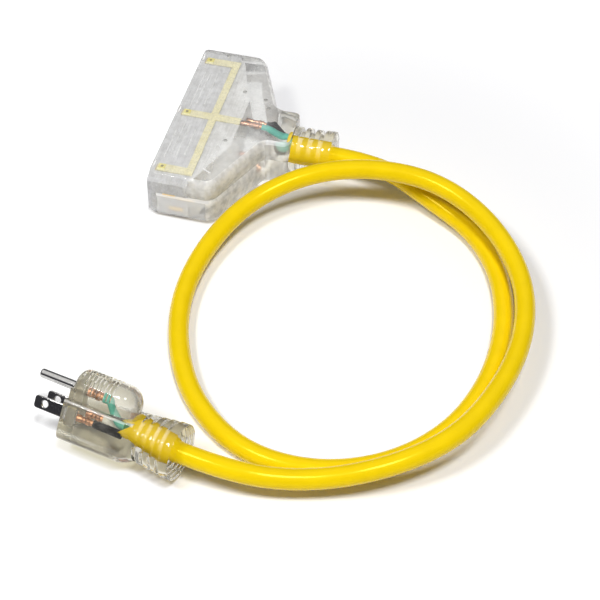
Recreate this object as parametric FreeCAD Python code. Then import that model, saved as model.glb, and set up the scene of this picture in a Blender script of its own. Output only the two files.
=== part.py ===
"""Short three-outlet extension cord with clear moulded ends. Millimetres, +Z up.

The outlet block stands on the floor at the origin. Its cord leaves along +X, and its outlets are in a row on Y.
The cord winds about one and a half turns over the floor to the plug, which lies on its side.
The plug is drawn in its own frame, where X runs along its axis to the cord, and is then laid in place.
"""
import FreeCAD, Part
import math
import os

V = FreeCAD.Vector

# Clearances
moulding_gap = 0.15
slide_gap = 0.3

# Outlet block: outline seen from above, measured from the face with the outlets
tap_length = 88.0
block_height = 30.0
side_wall = 1.4
shoulder_depth = 33.5
neck_root_depth = 52.0
neck_end_depth = 66.5
neck_half_width = 12.8
front_corner_r = 3.0
shoulder_corner_r = 5.0
neck_root_r = 8.0
neck_end_r = 3.0

# Its sides bulge above and below a parting ledge: share of the height, then share of the bulge
side_bulge = 2.5
front_bulge = 0.8
ledge_z = 17.0
lower_profile = ((0.0, 0.2), (0.08, 0.6), (0.25, 0.9), (0.6, 1.0), (0.92, 0.8), (1.0, 0.35))
upper_profile = ((0.09, 0.8), (0.4, 1.0), (0.65, 0.85), (0.85, 0.5), (0.96, 0.1), (1.0, -0.15))

# Strain relief on the block
relief_ribs = 3
relief_flange_length = 5.0
relief_flange_r = 13.2
relief_rib_r = 12.7
relief_core_r = 10.4
relief_rib_share = 0.55
relief_root = 3.0
relief_web_angles = (105.0, 285.0)
relief_web_sweep = 70.0
relief_web_sink = 0.5

# Outlets, to the North American 15 A grounding pattern
outlet_count = 3
outlet_pitch = 45.0
blade_spacing = 12.7
ground_offset = 11.9
slots_under_middle = 5.0
slot_width = 2.0
hot_slot_height = 7.2
neutral_slot_height = 9.0
ground_hole_r = 2.5

# Insert that holds the contacts, and the block behind it. The ground holes run right through the insert
carrier_depth = 22.0
carrier_end_wall = 0.8
carrier_under_slots = 7.0
carrier_over_sleeve = 1.0
carrier_chamfer = 1.5
face_wall = 3.0
pocket_depth = 18.8
pocket_under_slots = 4.9
pocket_over_slots = 5.1
backer_depth = 36.0
backer_edge_depth = 24.0
backer_edge_inset = 3.6
backer_flat_half_width = 19.0

# Contacts and bus strips
leaf_thickness = 0.5
contact_gap = 1.6
contact_half_height = 3.6
contact_tab_length = 6.0
sleeve_r = 3.1
sleeve_length = 12.0
sleeve_slit = 1.2
riser_length = 5.0
riser_width = 4.4
strip_thickness = 0.8
line_strip_over_slots = 4.9
neutral_strip_under_slots = 5.5
strip_front_depth = 13.0
line_strip_back_depth = 21.6
neutral_strip_back_depth = 21.6
ground_bar_depth = 19.0
ground_bar_width = 4.0
ground_leg_width = 5.0
ground_leg_tip_depth = 3.6
ground_leg_hole_r = 0.9
ground_leg_hole_depth = 5.6
tail_width = 5.0
line_tail_y = 9.5
neutral_tail_y = -9.5

# Conductors
jacket_r = 5.2
wire_r = 1.85
wire_circle_r = 2.3
strand_r = 1.3
strand_bare = 1.5
crimp_r = 2.1
tap_crimp_length = 10.5
plug_crimp_length = 7.5
crimp_floor = 1.5
crimp_gap = 0.05
neutral_crimp_lift = 1.0
tap_jacket_cut_depth = 63.0
wire_lead = 3.5
ground_crimp_under_strip = 0.8

# Plug
plug_length = 58.5
plug_body_length = 38.0
plug_half_width = 13.0
plug_bottom = 13.0
plug_ledge = 8.0
plug_bottom_r = 6.0
plug_ledge_r = 1.2
hull_full_length = 22.0
hull_start_r = 17.5
hull_end_r = 11.4
bump_axis = 13.0
bump_r = 9.0
bump_length = 33.5
bump_front_r = 4.0
grip_count = 8
grip_pitch = 2.1
grip_start = 6.0
grip_land = 1.35
grip_drop = 0.5
plug_relief_ribs = 4
plug_relief_root = 36.0
plug_flange_length = 4.6
plug_flange_r = 13.9
plug_rib_r = 11.8
plug_rib_end_r = 13.4
plug_core_r = 10.0
plug_core_end_r = 11.0

# Blades and ground pin, to the same pattern
blade_width = 6.35
blade_thickness = 1.52
blade_length = 17.5
blade_tip_r = 1.5
blade_tail_r = 0.3
blade_hole_r = 1.8
blade_hole_offset = 11.9
blade_tail = 6.4
pin_r = 2.38
pin_length = 21.0
pin_tail = 6.0
pin_tail_r = 2.0
pin_chamfer = 1.2
bridge_front = 1.5
bridge_back = 6.0
bridge_half_width = 9.6
bridge_bottom = -4.6
bridge_foot_top = 4.6
bridge_top = 15.2
bridge_top_half_width = 4.2
plug_jacket_cut_depth = 28.5

# Where the plug lies, and how it is turned
plug_exit_x = 25.6
plug_exit_y = -218.7
plug_yaw = -11.7
plug_roll = -36.5

# Free cord: points of the route between the two straight exits
exit_run = 27.0
floor_z = 5.2
cord_route = (
    (100.0, -14.0, 10.0),
    (128.0, -29.0, 6.3),
    (147.0, -56.0, 5.3),
    (156.5, -92.0, floor_z),
    (155.5, -130.0, floor_z),
    (144.0, -165.0, floor_z),
    (120.0, -192.0, floor_z),
    (87.0, -206.0, floor_z),
    (51.0, -203.0, floor_z),
    (21.0, -181.0, floor_z),
    (2.0, -150.0, floor_z),
    (-8.0, -113.0, 6.0),
    (-5.0, -76.0, 8.5),
    (10.0, -44.0, 15.0),
    (38.0, -23.0, 22.5),
    (72.0, -16.0, 27.3),
    (106.0, -18.0, 26.5),
    (137.0, -36.0, 22.5),
    (160.0, -67.0, 18.5),
    (168.0, -104.0, 18.0),
    (163.5, -143.0, 19.0),
    (149.0, -180.0, 19.5),
    (121.0, -204.0, 16.5),
    (86.0, -217.0, 11.5),
)
arc_share = 0.45

# Places that follow from the sizes above
front_x = -tap_length / 2
tap_exit_x = tap_length / 2
cord_z = block_height / 2
slot_z = cord_z - slots_under_middle
ground_z = slot_z + ground_offset
outlet_ys = [(number - (outlet_count - 1) / 2) * outlet_pitch for number in range(outlet_count)]
half_spacing = blade_spacing / 2
pocket_half = contact_gap / 2 + leaf_thickness + moulding_gap
carrier_half_width = outlet_ys[-1] + half_spacing + pocket_half + carrier_end_wall
carrier_bottom_z = slot_z - carrier_under_slots
carrier_top_z = ground_z + sleeve_r + carrier_over_sleeve
top_half_width = carrier_half_width + side_wall - side_bulge
line_strip_z = slot_z + line_strip_over_slots
neutral_strip_z = slot_z - neutral_strip_under_slots
crimp_x = front_x + backer_depth
wire_start_x = crimp_x + tap_crimp_length + strand_bare
jacket_cut_x = front_x + tap_jacket_cut_depth
face_x = -plug_length
roll_angle = math.radians(plug_roll)
lean = abs(math.sin(roll_angle))
upright = math.cos(roll_angle)
corner_middle_drop = (plug_half_width - plug_bottom_r) * lean + (plug_bottom - plug_bottom_r) * upright
plug_axis_z = corner_middle_drop + plug_bottom_r


def box(x0, x1, y0, y1, z0, z1):
    """A block between two opposite corners."""
    return Part.makeBox(x1 - x0, y1 - y0, z1 - z0, V(x0, y0, z0))


def rod(x0, x1, y, z, radius):
    """A round bar along X."""
    return Part.makeCylinder(radius, x1 - x0, V(x0, y, z), V(1, 0, 0))


def joined(shapes):
    """One solid from several that touch or overlap."""
    shape = shapes[0].fuse(shapes[1:]) if len(shapes) > 1 else shapes[0]
    return shape.removeSplitter()


def offset_corners(corners, grows):
    """The corners of a plan outline, anticlockwise, with each edge moved outwards by its own amount."""
    count = len(corners)
    moved = []
    for number in range(count):
        lines = []
        for edge in ((number - 1) % count, number):
            start = corners[edge]
            end = corners[(edge + 1) % count]
            run_x = end[0] - start[0]
            run_y = end[1] - start[1]
            length = math.hypot(run_x, run_y)
            normal = (run_y / length, -run_x / length)
            lines.append((normal, normal[0] * start[0] + normal[1] * start[1] + grows[edge]))
        (first, first_reach), (second, second_reach) = lines
        cross = first[0] * second[1] - first[1] * second[0]
        x = (first_reach * second[1] - second_reach * first[1]) / cross
        y = (first[0] * second_reach - second[0] * first_reach) / cross
        moved.append((x, y))
    return moved


def rounded_wire(corners, radii, place):
    """A closed wire through the corners, each rounded by its radius. place sets a flat point in space."""
    count = len(corners)
    starts = []
    ends = []
    middles = []
    for number in range(count):
        corner = V(*corners[number], 0)
        before = V(*corners[number - 1], 0)
        after = V(*corners[(number + 1) % count], 0)
        back = (before - corner).normalize()
        on = (after - corner).normalize()
        half_angle = back.getAngle(on) / 2
        reach = radii[number] / math.tan(half_angle)
        to_middle = radii[number] / math.sin(half_angle) - radii[number]
        starts.append(corner + back * reach)
        ends.append(corner + on * reach)
        middles.append(corner + (back + on).normalize() * to_middle)
    edges = []
    for number in range(count):
        following = (number + 1) % count
        arc = Part.Arc(place(starts[number]), place(middles[number]), place(ends[number]))
        edges.append(arc.toShape())
        edges.append(Part.LineSegment(place(ends[number]), place(starts[following])).toShape())
    return Part.Wire(edges)


def block_section(z, grow, front_grow):
    """The outline of the outlet block and its neck at one height."""
    shoulder_x = front_x + front_bulge + shoulder_depth
    root_x = front_x + neck_root_depth
    end_x = front_x + neck_end_depth
    half = [
        (front_x + front_bulge, -top_half_width),
        (shoulder_x, -top_half_width),
        (root_x, -neck_half_width),
        (end_x, -neck_half_width),
    ]
    corners = half + [(x, -y) for x, y in reversed(half)]
    grows = [grow, grow, grow, 0.0, grow, grow, grow, front_grow]
    radii = [front_corner_r + grow, shoulder_corner_r + grow, neck_root_r - grow, neck_end_r + grow]
    corners = offset_corners(corners, grows)
    return rounded_wire(corners, radii + radii[::-1], lambda point: V(point.x, point.y, z))


def turned_x(outline, axis_z):
    """A solid of revolution about a line along X. The outline is a list of (x, radius) steps."""
    points = [V(x, 0, axis_z + radius) for x, radius in outline]
    first = V(outline[0][0], 0, axis_z)
    last = V(outline[-1][0], 0, axis_z)
    wire = Part.makePolygon([first] + points + [last, first])
    return Part.Face(wire).revolve(V(0, 0, axis_z), V(1, 0, 0), 360)


def web(x0, x1, low_r, high_r, angle, axis_z):
    """A piece of a ring about a line along X. Its angle starts at +Y and turns towards +Z."""
    outline = [V(x0, low_r, 0), V(x1, low_r, 0), V(x1, high_r, 0), V(x0, high_r, 0), V(x0, low_r, 0)]
    ring = Part.Face(Part.makePolygon(outline)).revolve(V(), V(1, 0, 0), relief_web_sweep)
    ring.rotate(V(), V(1, 0, 0), angle)
    ring.translate(V(0, 0, axis_z))
    return ring


def ribbed_relief(x0, x1, ribs, rib_share, core, core_end, rib, rib_end, flange_length, flange_r, axis_z):
    """A strain relief: a core with ribs that may grow towards a flange at its end, joined by webs."""
    pitch = (x1 - flange_length - x0) / ribs
    outline = []
    webs = []
    for number in range(ribs):
        grown = number / max(ribs - 1, 1)
        rib_here = rib + (rib_end - rib) * grown
        core_here = core + (core_end - core) * grown
        start = x0 + number * pitch
        top = start + pitch * rib_share
        outline += [(start, rib_here), (top, rib_here), (top, core_here), (start + pitch, core_here)]
        low_r = core_here - relief_web_sink
        webs += [web(top, start + pitch, low_r, rib_here, angle, axis_z) for angle in relief_web_angles]
    outline += [(x1 - flange_length, flange_r), (x1, flange_r)]
    return joined([turned_x(outline, axis_z)] + webs)


def smooth_path(points):
    """Straight runs joined by tangent arcs, each as large as its runs allow, and the radii of the arcs."""
    edges = []
    radii = []
    here = points[0]
    for number in range(1, len(points) - 1):
        corner = points[number]
        back = points[number - 1] - corner
        on = points[number + 1] - corner
        shorter = min(back.Length, on.Length)
        back = V(back).normalize()
        on = V(on).normalize()
        half_angle = back.getAngle(on) / 2
        reach = arc_share * shorter
        radius = reach * math.tan(half_angle)
        to_middle = radius / math.sin(half_angle) - radius
        start = corner + back * reach
        end = corner + on * reach
        middle = corner + (back + on).normalize() * to_middle
        edges.append(Part.LineSegment(here, start).toShape())
        edges.append(Part.Arc(start, middle, end).toShape())
        radii.append(radius)
        here = end
    edges.append(Part.LineSegment(here, points[-1]).toShape())
    return Part.Wire(edges), radii


def tube_along(points, radius):
    """A round bar along a smooth path, with the path's length and radii."""
    path, radii = smooth_path(points)
    circle = Part.Wire(Part.makeCircle(radius, points[0], points[1] - points[0]))
    return path.makePipeShell([circle], True, False), path.Length, radii


def crimp(x, y, z, length, grow=0.0):
    """A crimp barrel whose closed end meets a strip, blade or pin. Grown, it is the space it fills."""
    barrel = rod(x - grow, x + length + grow, y, z, crimp_r + grow)
    if grow:
        return barrel
    return barrel.cut(rod(x + crimp_floor, x + length, y, z, strand_r + crimp_gap))


def strands(x, y, z, length, grow=0.0):
    """The bare end of a conductor, from inside its crimp to its insulation."""
    return rod(x + crimp_floor, x + length + strand_bare, y, z, strand_r + grow)


def lead_wire(start, end, radius):
    """An insulated wire that steps sideways from its crimp to its place in the jacket."""
    points = [start, start + V(wire_lead, 0, 0), end - V(wire_lead, 0, 0), end]
    return tube_along(points, radius)[0]


def jacket_places():
    """Where the three wires enter the jacket, across and up from its axis: ground, line, neutral."""
    third = math.radians(30)
    side = wire_circle_r * math.cos(third)
    drop = wire_circle_r * math.sin(third)
    return (0.0, wire_circle_r), (side, -drop), (-side, -drop)


def carrier_space(grow):
    """The insert's outer block."""
    low = carrier_bottom_z - grow
    high = carrier_top_z + grow
    half = carrier_half_width + grow
    cut = carrier_chamfer
    outline = [(-half + cut, low), (half - cut, low), (half, low + cut), (half, high - cut)]
    outline += [(half - cut, high), (-half + cut, high), (-half, high - cut), (-half, low + cut)]
    points = [V(front_x - grow, y, z) for y, z in outline]
    wire = Part.makePolygon(points + points[:1])
    return Part.Face(wire).extrude(V(carrier_depth + 2 * grow, 0, 0))


def backer_space(grow):
    """The block behind the insert, which narrows towards the wires."""
    inner_x = front_x + carrier_depth - grow
    edge_x = front_x + backer_edge_depth
    back_x = front_x + backer_depth + grow
    half = carrier_half_width - backer_edge_inset + grow
    flat = backer_flat_half_width + grow
    outline = [(inner_x, -half), (edge_x, -half), (back_x, -flat)]
    outline += [(back_x, flat), (edge_x, half), (inner_x, half)]
    low = carrier_bottom_z - grow
    points = [V(x, y, low) for x, y in outline]
    wire = Part.makePolygon(points + points[:1])
    return Part.Face(wire).extrude(V(0, 0, carrier_top_z - carrier_bottom_z + 2 * grow))


def ground_bus(grow=0.0):
    """The comb-shaped strip on top of the insert that joins the three ground contacts."""
    bar_x = front_x + ground_bar_depth
    low = carrier_top_z - grow
    high = carrier_top_z + strip_thickness + grow
    reach = outlet_ys[-1] + ground_leg_width / 2 + grow
    pieces = [box(bar_x - grow, bar_x + ground_bar_width + grow, -reach, reach, low, high)]
    half = ground_leg_width / 2 + grow
    tip_x = front_x + ground_leg_tip_depth - grow
    for y in outlet_ys:
        pieces.append(box(tip_x, bar_x + ground_bar_width, y - half, y + half, low, high))
    pieces.append(box(bar_x, front_x + backer_depth + grow, -half, half, low, high))
    strip = joined(pieces)
    if grow:
        return strip
    for y in outlet_ys:
        centre = V(front_x + ground_leg_hole_depth, y, low)
        strip = strip.cut(Part.makeCylinder(ground_leg_hole_r, strip_thickness, centre))
    return strip


def flat_bus(z, back_depth, side, tail_y, grow=0.0):
    """A strip through the insert that joins one row of contacts, with a tail to its crimp."""
    reach = contact_gap / 2 + leaf_thickness + grow
    low_y = outlet_ys[0] + side * half_spacing - reach
    high_y = outlet_ys[-1] + side * half_spacing + reach
    strip_x = front_x + strip_front_depth - grow
    back_x = front_x + back_depth + grow
    low = z - grow
    high = z + strip_thickness + grow
    half = tail_width / 2 + grow
    tail = box(back_x - tail_width, front_x + backer_depth + grow, tail_y - half, tail_y + half, low, high)
    return joined([box(strip_x, back_x, low_y, high_y, low, high), tail])


def line_bus(grow=0.0):
    return flat_bus(line_strip_z, line_strip_back_depth, 1, line_tail_y, grow)


def neutral_bus(grow=0.0):
    return flat_bus(neutral_strip_z, neutral_strip_back_depth, -1, neutral_tail_y, grow)


def blade_contact(y, tab_low, tab_high):
    """A folded channel that grips a blade, open at the front, with a tab that meets its bus strip."""
    outer = contact_gap / 2 + leaf_thickness
    x0 = front_x + face_wall + slide_gap
    x1 = front_x + pocket_depth - slide_gap
    low = slot_z - contact_half_height
    high = slot_z + contact_half_height
    channel = box(x0, x1, y - outer, y + outer, low, high)
    slot = box(x0, x1 - leaf_thickness, y - contact_gap / 2, y + contact_gap / 2, low, high)
    tab_x = x1 - contact_tab_length
    tab = box(tab_x, x1, y - outer, y - outer + leaf_thickness, tab_low, tab_high)
    return joined([channel.cut(slot), tab])


def line_contacts():
    top = slot_z + contact_half_height
    made = [blade_contact(y + half_spacing, top, line_strip_z) for y in outlet_ys]
    return Part.makeCompound(made)


def neutral_contacts():
    bottom = slot_z - contact_half_height
    under = neutral_strip_z + strip_thickness
    made = [blade_contact(y - half_spacing, under, bottom) for y in outlet_ys]
    return Part.makeCompound(made)


def ground_contact(y, grow=0.0):
    """A split sleeve round the ground hole, with a riser up to the ground strip."""
    x0 = front_x + face_wall - grow
    x1 = front_x + face_wall + sleeve_length + grow
    half = riser_width / 2 + grow
    riser = box(x0 + grow, x0 + grow + riser_length, y - half, y + half, ground_z, carrier_top_z)
    sleeve = joined([rod(x0, x1, y, ground_z, sleeve_r + grow), riser])
    if grow:
        return sleeve
    sleeve = sleeve.cut(rod(x0, x1, y, ground_z, ground_hole_r))
    slit = box(x0, x1, y - sleeve_slit / 2, y + sleeve_slit / 2, ground_z - 2 * sleeve_r, ground_z)
    return sleeve.cut(slit)


def contact_carrier():
    """The insert: blade slots and round ground holes in front, pockets for the contacts behind."""
    cutters = [line_bus(moulding_gap), neutral_bus(moulding_gap)]
    wall_x = front_x + face_wall
    pocket_x = front_x + pocket_depth
    slot_half = slot_width / 2
    pocket_heights = (slot_z - pocket_under_slots, slot_z + pocket_over_slots)
    for y in outlet_ys:
        cutters.append(rod(front_x, front_x + carrier_depth, y, ground_z, ground_hole_r))
        cutters.append(ground_contact(y, moulding_gap))
        for side, height in ((1, hot_slot_height), (-1, neutral_slot_height)):
            slot_y = y + side * half_spacing
            slot_heights = (slot_z - height / 2, slot_z + height / 2)
            cutters.append(box(front_x, wall_x, slot_y - slot_half, slot_y + slot_half, *slot_heights))
            cutters.append(box(wall_x, pocket_x, slot_y - pocket_half, slot_y + pocket_half, *pocket_heights))
    return carrier_space(0.0).cut(cutters)


def carrier_backer():
    """The block behind the insert, with slots for the strips that pass through it."""
    return backer_space(0.0).cut([line_bus(moulding_gap), neutral_bus(moulding_gap)])


def tap_wires():
    """Start and end of each wire in the block: ground, line, neutral."""
    ground_place, line_place, neutral_place = jacket_places()
    starts = (
        V(wire_start_x, 0, carrier_top_z - ground_crimp_under_strip),
        V(wire_start_x, line_tail_y, line_strip_z + strip_thickness / 2),
        V(wire_start_x, neutral_tail_y, neutral_strip_z + strip_thickness / 2 + neutral_crimp_lift),
    )
    ends = [V(jacket_cut_x, y, cord_z + z) for y, z in (ground_place, line_place, neutral_place)]
    return list(zip(starts, ends))


def tap_overmould():
    """The clear body, moulded round the insert, the strips, the crimps, the wires and the jacket's end."""
    sections = []
    for share, bulge in lower_profile:
        sections.append(block_section(ledge_z * share, side_bulge * bulge, front_bulge * bulge))
    for share, bulge in upper_profile:
        z = ledge_z + (block_height - ledge_z) * share
        sections.append(block_section(z, side_bulge * bulge, front_bulge * bulge))
    block = Part.makeLoft(sections, True, True)
    neck_end_x = front_x + neck_end_depth
    relief = ribbed_relief(
        neck_end_x, tap_exit_x, relief_ribs, relief_rib_share, relief_core_r, relief_core_r,
        relief_rib_r, relief_rib_r, relief_flange_length, relief_flange_r, cord_z,
    )
    root = rod(neck_end_x - relief_root, neck_end_x, 0, cord_z, relief_core_r)
    body = joined([block, relief, root])
    spaces = [carrier_space(moulding_gap), backer_space(moulding_gap)]
    spaces += [ground_bus(moulding_gap), line_bus(moulding_gap)]
    spaces.append(rod(jacket_cut_x - moulding_gap, tap_exit_x, 0, cord_z, jacket_r + moulding_gap))
    for start, end in tap_wires():
        spaces.append(crimp(crimp_x, start.y, start.z, tap_crimp_length, moulding_gap))
        spaces.append(strands(crimp_x, start.y, start.z, tap_crimp_length, moulding_gap))
        spaces.append(lead_wire(start, end, wire_r + moulding_gap))
    return body.cut(spaces)


def plug_wires():
    """Start and end of each wire in the plug: ground, line, neutral."""
    (ground_y, ground_up), (side, low), _ = jacket_places()
    step = plug_crimp_length + strand_bare
    starts = (
        V(face_x + pin_tail + step, 0, ground_offset),
        V(face_x + blade_tail + step, -half_spacing, 0),
        V(face_x + blade_tail + step, half_spacing, 0),
    )
    end_x = face_x + plug_jacket_cut_depth
    ends = (V(end_x, ground_y, ground_up), V(end_x, -side, low), V(end_x, side, low))
    return list(zip(starts, ends))


def blade(y, grow=0.0):
    """A flat blade with rounded tip corners and a hole near its tip."""
    half_width = blade_width / 2 + grow
    tip_x = face_x - blade_length
    tail_x = face_x + blade_tail + grow
    corners = [(tip_x, -half_width), (tail_x, -half_width), (tail_x, half_width), (tip_x, half_width)]
    radii = [blade_tip_r, blade_tail_r, blade_tail_r, blade_tip_r]
    low_y = y - blade_thickness / 2 - grow
    wire = rounded_wire(corners, radii, lambda point: V(point.x, low_y, point.y))
    plate = Part.Face(wire).extrude(V(0, blade_thickness + 2 * grow, 0))
    if grow:
        return plate
    hole = Part.makeCylinder(
        blade_hole_r, blade_thickness, V(face_x - blade_hole_offset, low_y, 0), V(0, 1, 0)
    )
    return plate.cut(hole)


def ground_pin(grow=0.0):
    """The round ground pin, chamfered at its tip, with a thinner tail inside the plug."""
    radius = pin_r + grow
    tail_r = pin_tail_r + grow
    tip_x = face_x - pin_length
    tail_x = face_x + pin_tail + grow
    outline = [(tip_x, radius - pin_chamfer), (tip_x + pin_chamfer, radius), (face_x, radius)]
    outline += [(face_x, tail_r), (tail_x, tail_r)]
    return turned_x(outline, ground_offset)


def bridge_space(grow):
    """The moulded piece inside the plug that holds the blades and the pin at their spacing."""
    x0 = face_x + bridge_front - grow
    x1 = face_x + bridge_back + grow
    half = bridge_half_width + grow
    top_half = bridge_top_half_width + grow
    foot = box(x0, x1, -half, half, bridge_bottom - grow, bridge_foot_top + grow)
    return joined([foot, box(x0, x1, -top_half, top_half, 0, bridge_top + grow)])


def blade_bridge():
    holes = [blade(side * half_spacing, moulding_gap) for side in (-1, 1)]
    return bridge_space(0.0).cut(holes + [ground_pin(moulding_gap)])


def plug_hull():
    """The lower half of the plug: flat sides, a rounded underside, drawn in towards the strain relief."""
    corners = [
        (-plug_half_width, -plug_bottom),
        (plug_half_width, -plug_bottom),
        (plug_half_width, plug_ledge),
        (-plug_half_width, plug_ledge),
    ]
    radii = [plug_bottom_r, plug_bottom_r, plug_ledge_r, plug_ledge_r]
    wire = rounded_wire(corners, radii, lambda point: V(face_x, point.x, point.y))
    prism = Part.Face(wire).extrude(V(plug_body_length, 0, 0))
    end_x = face_x + plug_body_length
    turn_x = face_x + hull_full_length
    run = (end_x - turn_x) / 2
    drop = (hull_start_r - hull_end_r) / 4
    start = V(face_x, 0, hull_start_r)
    turn = V(turn_x, 0, hull_start_r)
    middle = V(turn_x + run, 0, hull_start_r - drop)
    end = V(end_x, 0, hull_end_r)
    edges = [
        Part.LineSegment(V(face_x, 0, 0), start).toShape(),
        Part.LineSegment(start, turn).toShape(),
        Part.Arc(turn, middle, end).toShape(),
        Part.LineSegment(end, V(end_x, 0, 0)).toShape(),
        Part.LineSegment(V(end_x, 0, 0), V(face_x, 0, 0)).toShape(),
    ]
    turned = Part.Face(Part.Wire(edges)).revolve(V(0, 0, 0), V(1, 0, 0), 360)
    return prism.common(turned)


def plug_bump():
    """The round back over the ground pin, with fine grip rings and a domed end."""
    top = bump_axis + bump_r
    straight_x = face_x + bump_length - bump_r
    front_end_x = face_x + bump_front_r
    diagonal = bump_front_r * (1 - math.sin(math.radians(45)))
    front = Part.Arc(
        V(face_x, 0, top - bump_front_r), V(face_x + diagonal, 0, top - diagonal), V(front_end_x, 0, top)
    )
    points = [V(front_end_x, 0, top)]
    for number in range(grip_count):
        ring_x = face_x + grip_start + number * grip_pitch
        points.append(V(ring_x, 0, top))
        points.append(V(ring_x, 0, top - grip_drop))
        points.append(V(ring_x + grip_pitch - grip_land, 0, top - grip_drop))
        points.append(V(ring_x + grip_pitch - grip_land, 0, top))
    points.append(V(straight_x, 0, top))
    reach = bump_r * math.sin(math.radians(45))
    dome_end = V(straight_x + bump_r, 0, bump_axis)
    foot_corner = V(face_x, 0, bump_axis)
    dome = Part.Arc(V(straight_x, 0, top), V(straight_x + reach, 0, bump_axis + reach), dome_end)
    edges = [front.toShape()]
    edges += [Part.LineSegment(a, b).toShape() for a, b in zip(points, points[1:])]
    edges.append(dome.toShape())
    edges.append(Part.LineSegment(dome_end, foot_corner).toShape())
    edges.append(Part.LineSegment(foot_corner, V(face_x, 0, top - bump_front_r)).toShape())
    round_back = Part.Face(Part.Wire(edges)).revolve(V(0, 0, bump_axis), V(1, 0, 0), 360)
    foot = box(face_x, straight_x, -bump_r, bump_r, 0, bump_axis)
    heel = Part.makeCylinder(bump_r, bump_axis, V(straight_x, 0, 0))
    return joined([round_back, foot, heel])


def plug_overmould():
    """The clear body, moulded round the bridge, the blades, the crimps, the wires and the jacket's end."""
    root_x = face_x + plug_relief_root
    relief = ribbed_relief(
        root_x, 0, plug_relief_ribs, relief_rib_share, plug_core_r, plug_core_end_r,
        plug_rib_r, plug_rib_end_r, plug_flange_length, plug_flange_r, 0,
    )
    body = joined([plug_hull(), plug_bump(), relief])
    spaces = [bridge_space(moulding_gap), ground_pin(moulding_gap)]
    spaces += [blade(side * half_spacing, moulding_gap) for side in (-1, 1)]
    cut_x = face_x + plug_jacket_cut_depth
    spaces.append(rod(cut_x - moulding_gap, 0, 0, 0, jacket_r + moulding_gap))
    for start, end in plug_wires():
        crimp_start = start.x - plug_crimp_length - strand_bare
        spaces.append(crimp(crimp_start, start.y, start.z, plug_crimp_length, moulding_gap))
        spaces.append(strands(crimp_start, start.y, start.z, plug_crimp_length, moulding_gap))
        spaces.append(lead_wire(start, end, wire_r + moulding_gap))
    return body.cut(spaces)


def tap_nodes():
    """The pieces of the outlet block, by name."""
    nodes = {
        "tap_overmould": tap_overmould(),
        "contact_carrier": contact_carrier(),
        "carrier_backer": carrier_backer(),
        "ground_bus": ground_bus(),
        "line_bus": line_bus(),
        "neutral_bus": neutral_bus(),
        "ground_contacts": Part.makeCompound([ground_contact(y) for y in outlet_ys]),
        "line_contacts": line_contacts(),
        "neutral_contacts": neutral_contacts(),
        "tap_jacket_end": rod(jacket_cut_x, tap_exit_x, 0, cord_z, jacket_r),
    }
    for name, (start, end) in zip(("ground", "line", "neutral"), tap_wires()):
        nodes["tap_" + name + "_crimp"] = crimp(crimp_x, start.y, start.z, tap_crimp_length)
        nodes["tap_" + name + "_strands"] = strands(crimp_x, start.y, start.z, tap_crimp_length)
        nodes["tap_" + name + "_wire"] = lead_wire(start, end, wire_r)
    return nodes


def plug_nodes():
    """The pieces of the plug, by name, laid where the plug lies."""
    nodes = {
        "plug_overmould": plug_overmould(),
        "blade_bridge": blade_bridge(),
        "line_blade": blade(-half_spacing),
        "neutral_blade": blade(half_spacing),
        "ground_pin": ground_pin(),
        "plug_jacket_end": rod(face_x + plug_jacket_cut_depth, 0, 0, 0, jacket_r),
    }
    for name, (start, end) in zip(("ground", "line", "neutral"), plug_wires()):
        crimp_start = start.x - plug_crimp_length - strand_bare
        nodes["plug_" + name + "_crimp"] = crimp(crimp_start, start.y, start.z, plug_crimp_length)
        nodes["plug_" + name + "_strands"] = strands(crimp_start, start.y, start.z, plug_crimp_length)
        nodes["plug_" + name + "_wire"] = lead_wire(start, end, wire_r)
    yaw = FreeCAD.Rotation(V(0, 0, 1), plug_yaw)
    roll = FreeCAD.Rotation(V(1, 0, 0), plug_roll)
    placement = FreeCAD.Placement(V(plug_exit_x, plug_exit_y, plug_axis_z), yaw.multiply(roll))
    for shape in nodes.values():
        shape.Placement = placement.multiply(shape.Placement)
    return nodes


def cord_points():
    """The route of the free cord, from the block to the plug."""
    yaw = math.radians(plug_yaw)
    plug_exit = V(plug_exit_x, plug_exit_y, plug_axis_z)
    run = V(math.cos(yaw), math.sin(yaw), 0) * exit_run
    tap_exit = V(tap_exit_x, 0, cord_z)
    ends = [tap_exit, tap_exit + V(exit_run, 0, 0)], [plug_exit + run, plug_exit]
    return ends[0] + [V(*point) for point in cord_route] + ends[1]


def main():
    os.makedirs("parts", exist_ok=True)
    nodes = tap_nodes()
    nodes.update(plug_nodes())
    tube, length, radii = tube_along(cord_points(), jacket_r)
    nodes["power_cord"] = tube
    expected = math.pi * jacket_r ** 2 * length
    print("cord length", round(length, 1), "least radius", round(min(radii), 1))
    print("cord radii", [round(radius) for radius in radii])
    print("cord volume over section times length", round(tube.Volume / expected, 4))
    for name, shape in sorted(nodes.items()):
        shape.exportStep("parts/" + name + ".step")
        print(name, len(shape.Solids), "solids", round(shape.Volume, 1), "mm3", "valid", shape.isValid())


main()
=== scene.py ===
"""Short three-outlet extension cord with clear moulded ends: its pieces, finishes, floor and lamps.

Everything is in metres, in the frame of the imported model. The outlet block stands at the origin and its cord
leaves along X. The plug is modelled in its own frame, with X along its axis to the cord, and then laid.
"""

import math

import bmesh
import bpy
from bpy.props import FloatProperty, FloatVectorProperty, IntProperty, PointerProperty
from bpy.types import Operator, Panel, PropertyGroup
from mathutils import Matrix, Vector


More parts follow.
